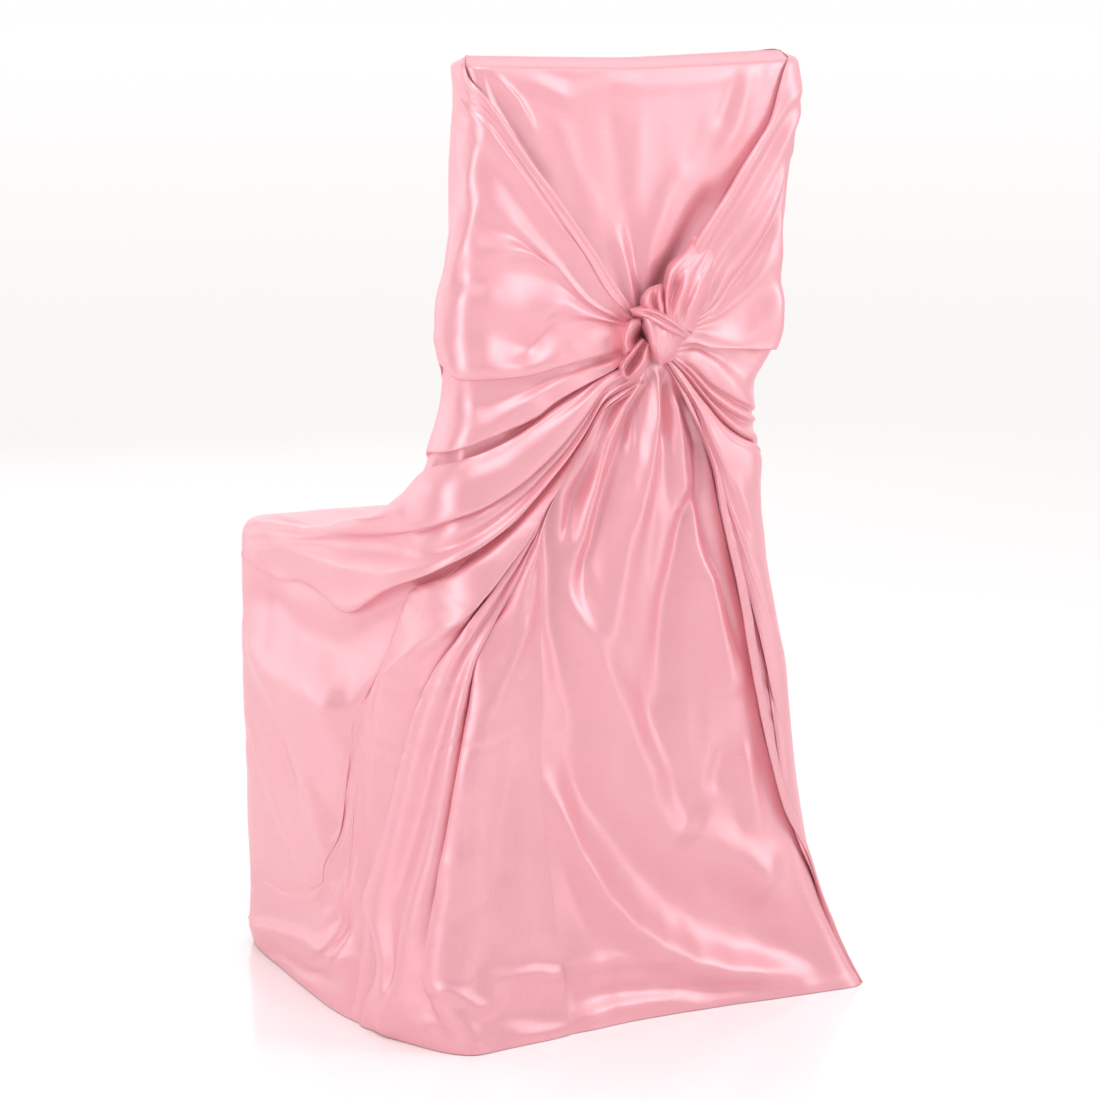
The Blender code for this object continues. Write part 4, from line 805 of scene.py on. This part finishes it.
# ------------------------------------------------------------------ materials
def satin(name, colour, deep, uv="cloth"):
    """Satin: long glossy threads over a fine twill ground."""
    mat = bpy.data.materials.new(name)
    mat.use_nodes = True
    nt = mat.node_tree
    for n in list(nt.nodes):
        nt.nodes.remove(n)
    add, link = nt.nodes.new, nt.links.new
    out = add("ShaderNodeOutputMaterial")
    bsdf = add("ShaderNodeBsdfPrincipled")
    link(bsdf.outputs[0], out.inputs[0])
    bsdf.inputs["Metallic"].default_value = 0.22
    bsdf.inputs["IOR"].default_value = 1.9
    bsdf.inputs["Specular IOR Level"].default_value = 0.8
    bsdf.inputs["Anisotropic"].default_value = 0.45
    bsdf.inputs["Coat Weight"].default_value = 0.12
    bsdf.inputs["Coat Roughness"].default_value = 0.38
    bsdf.inputs["Sheen Weight"].default_value = 0.08
    bsdf.inputs["Sheen Roughness"].default_value = 0.4
    bsdf.inputs["Sheen Tint"].default_value = (1.0, 0.80, 0.83, 1)
    uvn = add("ShaderNodeUVMap")
    uvn.uv_map = uv
    tan = add("ShaderNodeTangent")
    tan.direction_type = "UV_MAP"
    tan.uv_map = uv
    link(tan.outputs[0], bsdf.inputs["Tangent"])

    # slubs: faint streaks along the threads, in colour and in gloss
    stretch = add("ShaderNodeMapping")
    stretch.inputs["Scale"].default_value = (900, 60, 1)
    link(uvn.outputs[0], stretch.inputs[0])
    slub = add("ShaderNodeTexNoise")
    slub.inputs["Scale"].default_value = 1.0
    slub.inputs["Detail"].default_value = 2.0
    link(stretch.outputs[0], slub.inputs["Vector"])
    tint = add("ShaderNodeMix")
    tint.data_type = "RGBA"
    tint.inputs[6].default_value = (*deep, 1)
    tint.inputs[7].default_value = (*colour, 1)
    ramp = add("ShaderNodeMapRange")
    ramp.inputs["From Min"].default_value = 0.30
    ramp.inputs["From Max"].default_value = 0.55
    link(slub.outputs[0], ramp.inputs[0])
    link(ramp.outputs[0], tint.inputs[0])
    link(tint.outputs[2], bsdf.inputs["Base Color"])
    gloss = add("ShaderNodeMapRange")
    gloss.inputs["To Min"].default_value = 0.45
    gloss.inputs["To Max"].default_value = 0.39
    link(slub.outputs[0], gloss.inputs[0])
    link(gloss.outputs[0], bsdf.inputs["Roughness"])

    # weave: floats of the warp and the ribs of the weft, 0.35 mm apart
    wave = add("ShaderNodeTexWave")
    wave.wave_type, wave.bands_direction = "BANDS", "X"
    wave.inputs["Scale"].default_value = 450
    wave.inputs["Distortion"].default_value = 1.5
    wave.inputs["Detail"].default_value = 1.0
    link(uvn.outputs[0], wave.inputs["Vector"])
    soft = add("ShaderNodeTexNoise")
    soft.inputs["Scale"].default_value = 38
    soft.inputs["Detail"].default_value = 3.0
    link(uvn.outputs[0], soft.inputs["Vector"])
    b1 = add("ShaderNodeBump")
    b1.inputs["Strength"].default_value = 0.10
    b1.inputs["Distance"].default_value = 0.0002
    link(wave.outputs[0], b1.inputs["Height"])
    b2 = add("ShaderNodeBump")
    b2.inputs["Strength"].default_value = 0.25
    b2.inputs["Distance"].default_value = 0.0012
    link(soft.outputs[0], b2.inputs["Height"])
    link(b1.outputs[0], b2.inputs["Normal"])
    link(b2.outputs[0], bsdf.inputs["Normal"])
    return mat


# -------------------------------------------------------------------- the knot
BACK_Y = 0.200


def net_surface(net, fine_u, fine_v):
    """A smooth patch through a net of seen points (px, py, mm in front of the
    plane y = BACK_Y)."""
    pts = []
    for row in net:
        line = []
        for px, py, h in row:
            d = sight(px, py)
            y = BACK_Y + h / 1000
            line.append(EYE + d * ((y - EYE[1]) / d[1]))
        pts.append(line)
    pts = np.array(pts)
    def along(a, k):
        n = len(a)
        x = np.linspace(0, n - 1, (n - 1) * k + 1)
        i = np.clip(x.astype(int), 0, n - 2)
        f = (x - i).reshape(-1, *([1] * (a.ndim - 1)))
        p0, p1, p2, p3 = a[np.maximum(i - 1, 0)], a[i], a[i + 1], a[np.minimum(i + 2, n - 1)]
        return 0.5 * (2 * p1 + (p2 - p0) * f + (2 * p0 - 5 * p1 + 4 * p2 - p3) * f ** 2
                      + (3 * p1 - p0 - 3 * p2 + p3) * f ** 3)
    g = along(pts, fine_u)
    return np.swapaxes(along(np.swapaxes(g, 0, 1), fine_v), 0, 1)


KNOT_NETS = {
    # the tie end drawn up over the knot's front, to its point below
    "band": [
        [(641, 317, 16), (645, 315, 25), (654, 314, 28), (666, 320, 28), (678, 327, 25), (685, 331, 16)],
        [(641, 325, 14), (647, 323, 28), (656, 323, 33), (667, 329, 31), (677, 335, 27), (683, 339, 13)],
        [(644, 335, 12), (649, 334, 29), (657, 334, 34), (667, 339, 32), (675, 343, 26), (680, 346, 11)],
        [(647, 346, 11), (651, 345, 27), (658, 346, 33), (666, 349, 30), (672, 352, 25), (677, 354, 10)],
        [(650, 356, 10), (654, 355, 23), (659, 356, 28), (665, 357, 26), (669, 358, 20), (673, 360, 9)],
        [(656, 364, 8), (658, 364, 15), (660, 366, 17), (663, 365, 15), (665, 363, 12), (668, 363, 7)],
    ],
    # the edge that crosses over its top
    "strip": [
        [(629, 309, 8), (630, 310, 12), (631, 312, 13), (632, 314, 12), (633, 316, 8)],
        [(640, 306, 10), (640, 309, 25), (640, 312, 26), (640, 315, 27), (640, 318, 14)],
        [(651, 307, 12), (650, 310, 33), (649, 313, 31), (648, 317, 35), (648, 321, 22)],
        [(663, 311, 14), (661, 314, 35), (659, 318, 33), (658, 322, 37), (656, 326, 26)],
        [(675, 318, 13), (673, 321, 34), (671, 325, 32), (669, 329, 36), (667, 333, 25)],
        [(686, 326, 11), (684, 329, 28), (682, 332, 26), (680, 335, 29), (678, 338, 18)],
        [(692, 332, 6), (690, 334, 12), (689, 336, 12), (687, 338, 12), (685, 340, 8)],
    ],
    # open cuff of the left end
    "cuff": [
        [(641, 317, 10), (641, 320, 22), (641, 323, 20), (643, 326, 10)],
        [(630, 320, 6), (631, 323, 27), (635, 328, 23), (640, 332, 9)],
        [(622, 333, 5), (626, 334, 29), (631, 336, 23), (639, 337, 7)],
        [(621, 347, 5), (625, 346, 27), (630, 343, 21), (639, 341, 7)],
        [(625, 357, 5), (628, 353, 23), (633, 348, 19), (640, 344, 7)],
        [(637, 354, 6), (637, 350, 17), (639, 347, 15), (643, 343, 9)],
    ],
    # small roll below it
    "roll": [
        [(641, 337, 9), (643, 339, 22), (646, 341, 18), (649, 344, 22), (652, 347, 10)],
        [(634, 344, 7), (637, 346, 28), (641, 349, 15), (646, 353, 28), (651, 357, 8)],
        [(628, 352, 6), (631, 354, 29), (636, 358, 11), (643, 362, 29), (649, 366, 7)],
        [(621, 361, 5), (625, 362, 27), (631, 365, 9), (639, 368, 27), (645, 371, 6)],
        [(618, 370, 4), (622, 370, 23), (628, 371, 11), (635, 373, 23), (641, 375, 5)],
        [(620, 378, 3), (624, 377, 15), (628, 378, 15), (632, 377, 15), (636, 379, 4)],
        [(624, 383, 2), (627, 382, 4), (628, 382, 5), (629, 382, 4), (632, 383, 2)],
    ],
    # lump where the right end turns under
    "lump": [
        [(646, 290, 2), (650, 287, 5), (653, 286, 7), (656, 285, 7), (660, 284, 7), (665, 284, 3)],
        [(641, 297, 3), (645, 294, 16), (650, 293, 20), (655, 292, 15), (660, 290, 21), (668, 290, 6)],
        [(640, 304, 4), (644, 302, 21), (649, 301, 24), (654, 300, 16), (660, 299, 25), (669, 299, 8)],
        [(642, 312, 6), (646, 309, 21), (651, 308, 23), (656, 308, 17), (661, 309, 26), (670, 309, 10)],
        [(647, 318, 8), (650, 316, 18), (654, 316, 20), (658, 317, 20), (662, 318, 24), (669, 319, 12)],
    ],
    # the right end's roll above the knot, with its long hollow
    "neck": [
        [(662, 320, 8), (667, 319, 24), (671, 321, 27), (676, 324, 28), (681, 327, 26), (687, 330, 20), (693, 333, 8)],
        [(661, 304, 6), (666, 303, 25), (671, 305, 21), (678, 307, 30), (684, 309, 25), (691, 311, 29), (699, 315, 7)],
        [(663, 283, 4), (668, 284, 26), (675, 286, 17), (684, 288, 30), (691, 290, 23), (699, 293, 27), (708, 297, 6)],
        [(668, 265, 3), (673, 267, 21), (681, 269, 20), (689, 271, 23), (697, 274, 19), (705, 277, 20), (714, 281, 3)],
        [(683, 250, 1), (687, 251, 12), (693, 253, 14), (699, 255, 14), (706, 258, 13), (712, 261, 12), (720, 264, 2)],
        [(694, 236, 0), (697, 237, 2), (702, 239, 4), (708, 241, 4), (713, 243, 4), (718, 245, 3), (724, 248, 0)],
    ],
}


def knot_pieces():
    out = []
    for name, net in KNOT_NETS.items():
        g = net_surface(net, 14, 12)
        u = np.linspace(0, 1, g.shape[0])[:, None] + np.zeros(g.shape[:2])
        v = np.linspace(0, 1, g.shape[1])[None, :] + np.zeros(g.shape[:2])
        seed = sum(map(ord, name))
        ripple = noise2(u * 2.5 + 1, v * 14, seed) * 0.7 + noise2(u * 6, v * 22 + 5, seed + 1) * 0.35
        edge = np.clip(np.minimum(v, 1 - v) / 0.15, 0, 1)
        g = g + np.array([0.2, 1.0, 0.1]) * (ripple * edge)[..., None] / 1000
        out.append(sheet_object("knot_" + name, g))
    return out


# ---------------------------------------------------------------------- build
wl, GL = wrap("wrap_left", LEFT, LEFT_FOLDS, 250, 3.2, 340, 21, 1)
wr, GR = wrap("wrap_right", RIGHT, RIGHT_FOLDS, 250, 3.2, 340, 61, -1)
bp, GB = panel("back_panel", 330, 250)
knot = knot_pieces()
cloth = satin("pink_satin", (0.815, 0.350, 0.405), (0.80, 0.325, 0.382))
for o in (wl, wr, bp):
    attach(o, "root")
    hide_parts("cover")
    o.data.materials.append(cloth)
for o in knot:
    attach(o, "root")
    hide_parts("tie_knot")
    o.data.materials.append(cloth)
print("tris", {o.name: len(o.data.polygons) * 2 for o in (wl, wr, bp, *knot)})
print("area", {o.name: round(area_of(o), 4) for o in (wl, wr, bp, *knot)})

# --------------------------------------------------------------------- studio
cam = bpy.data.objects.new("camera", bpy.data.cameras.new("camera"))
bpy.context.scene.collection.objects.link(cam)
cam.location = EYE
cam.rotation_mode = "QUATERNION"
cam.rotation_quaternion = Vector(V_AHEAD).to_track_quat("-Z", "Y")
cam.data.lens = LENS
cam.data.sensor_width = 36
cam.data.clip_start, cam.data.clip_end = 0.05, 50
bpy.context.scene.camera = cam

floor_me = bpy.data.meshes.new("floor")
floor_me.from_pydata([(-60, -60, 0), (60, -60, 0), (60, 60, 0), (-60, 60, 0)], [], [(0, 1, 2, 3)])
floor = bpy.data.objects.new("floor", floor_me)
bpy.context.scene.collection.objects.link(floor)
fm = bpy.data.materials.new("floor")
fm.use_nodes = True
fb = fm.node_tree.nodes["Principled BSDF"]
fb.inputs["Base Color"].default_value = (0.97, 0.95, 0.95, 1)
fb.inputs["Roughness"].default_value = 0.16
fb.inputs["Specular IOR Level"].default_value = 0.35
floor_me.materials.append(fm)


def softbox(name, where, to, size, watts, colour=(1, 1, 1)):
    d = bpy.data.lights.new(name, "AREA")
    d.shape = "RECTANGLE"
    d.size, d.size_y = size
    d.energy = watts
    d.color = colour
    o = bpy.data.objects.new(name, d)
    bpy.context.scene.collection.objects.link(o)
    o.location = where
    o.rotation_mode = "QUATERNION"
    o.rotation_quaternion = (Vector(to) - Vector(where)).to_track_quat("-Z", "Y")
    return o


softbox("left", (2.8, 1.05, 1.15), (0, 0.1, 0.45), (1.3, 1.9), 32)
softbox("side", (2.15, -2.35, 1.0), (0.25, 0, 0.4), (1.5, 1.5), 11)
softbox("right", (-2.2, 2.3, 1.7), (0, 0.1, 0.55), (1.3, 2.2), 36)
softbox("top", (0.3, 1.4, 2.8), (0, 0, 0.5), (1.4, 1.0), 24)
softbox("front", (-0.6, -3.2, 1.6), (0, 0, 0.5), (2.4, 2.0), 7)
sun = bpy.data.lights.new("sky", "SUN")
sun.energy, sun.angle = 0.58, math.radians(130)
so = bpy.data.objects.new("sky", sun)
bpy.context.scene.collection.objects.link(so)

# bright paper behind the cover, a dimmer room on the near side
world = bpy.data.worlds.new("studio")
bpy.context.scene.world = world
world.use_nodes = True
wn = world.node_tree
bg = wn.nodes["Background"]
bg.inputs[0].default_value = (1.0, 0.975, 0.975, 1)
wc = wn.nodes.new("ShaderNodeTexCoord")
wd = wn.nodes.new("ShaderNodeVectorMath")
wd.operation = "DOT_PRODUCT"
wd.inputs[1].default_value = (-0.485, -0.875, -0.10)
wm = wn.nodes.new("ShaderNodeMapRange")
wm.interpolation_type = "SMOOTHSTEP"
wm.inputs["From Min"].default_value = -0.2
wm.inputs["From Max"].default_value = 0.9
wm.inputs["To Min"].default_value = 0.37
wm.inputs["To Max"].default_value = 1.18
wn.links.new(wc.outputs["Generated"], wd.inputs[0])
wn.links.new(wd.outputs["Value"], wm.inputs[0])
wn.links.new(wm.outputs[0], bg.inputs[1])
bpy.context.scene.view_settings.view_transform = "Standard"
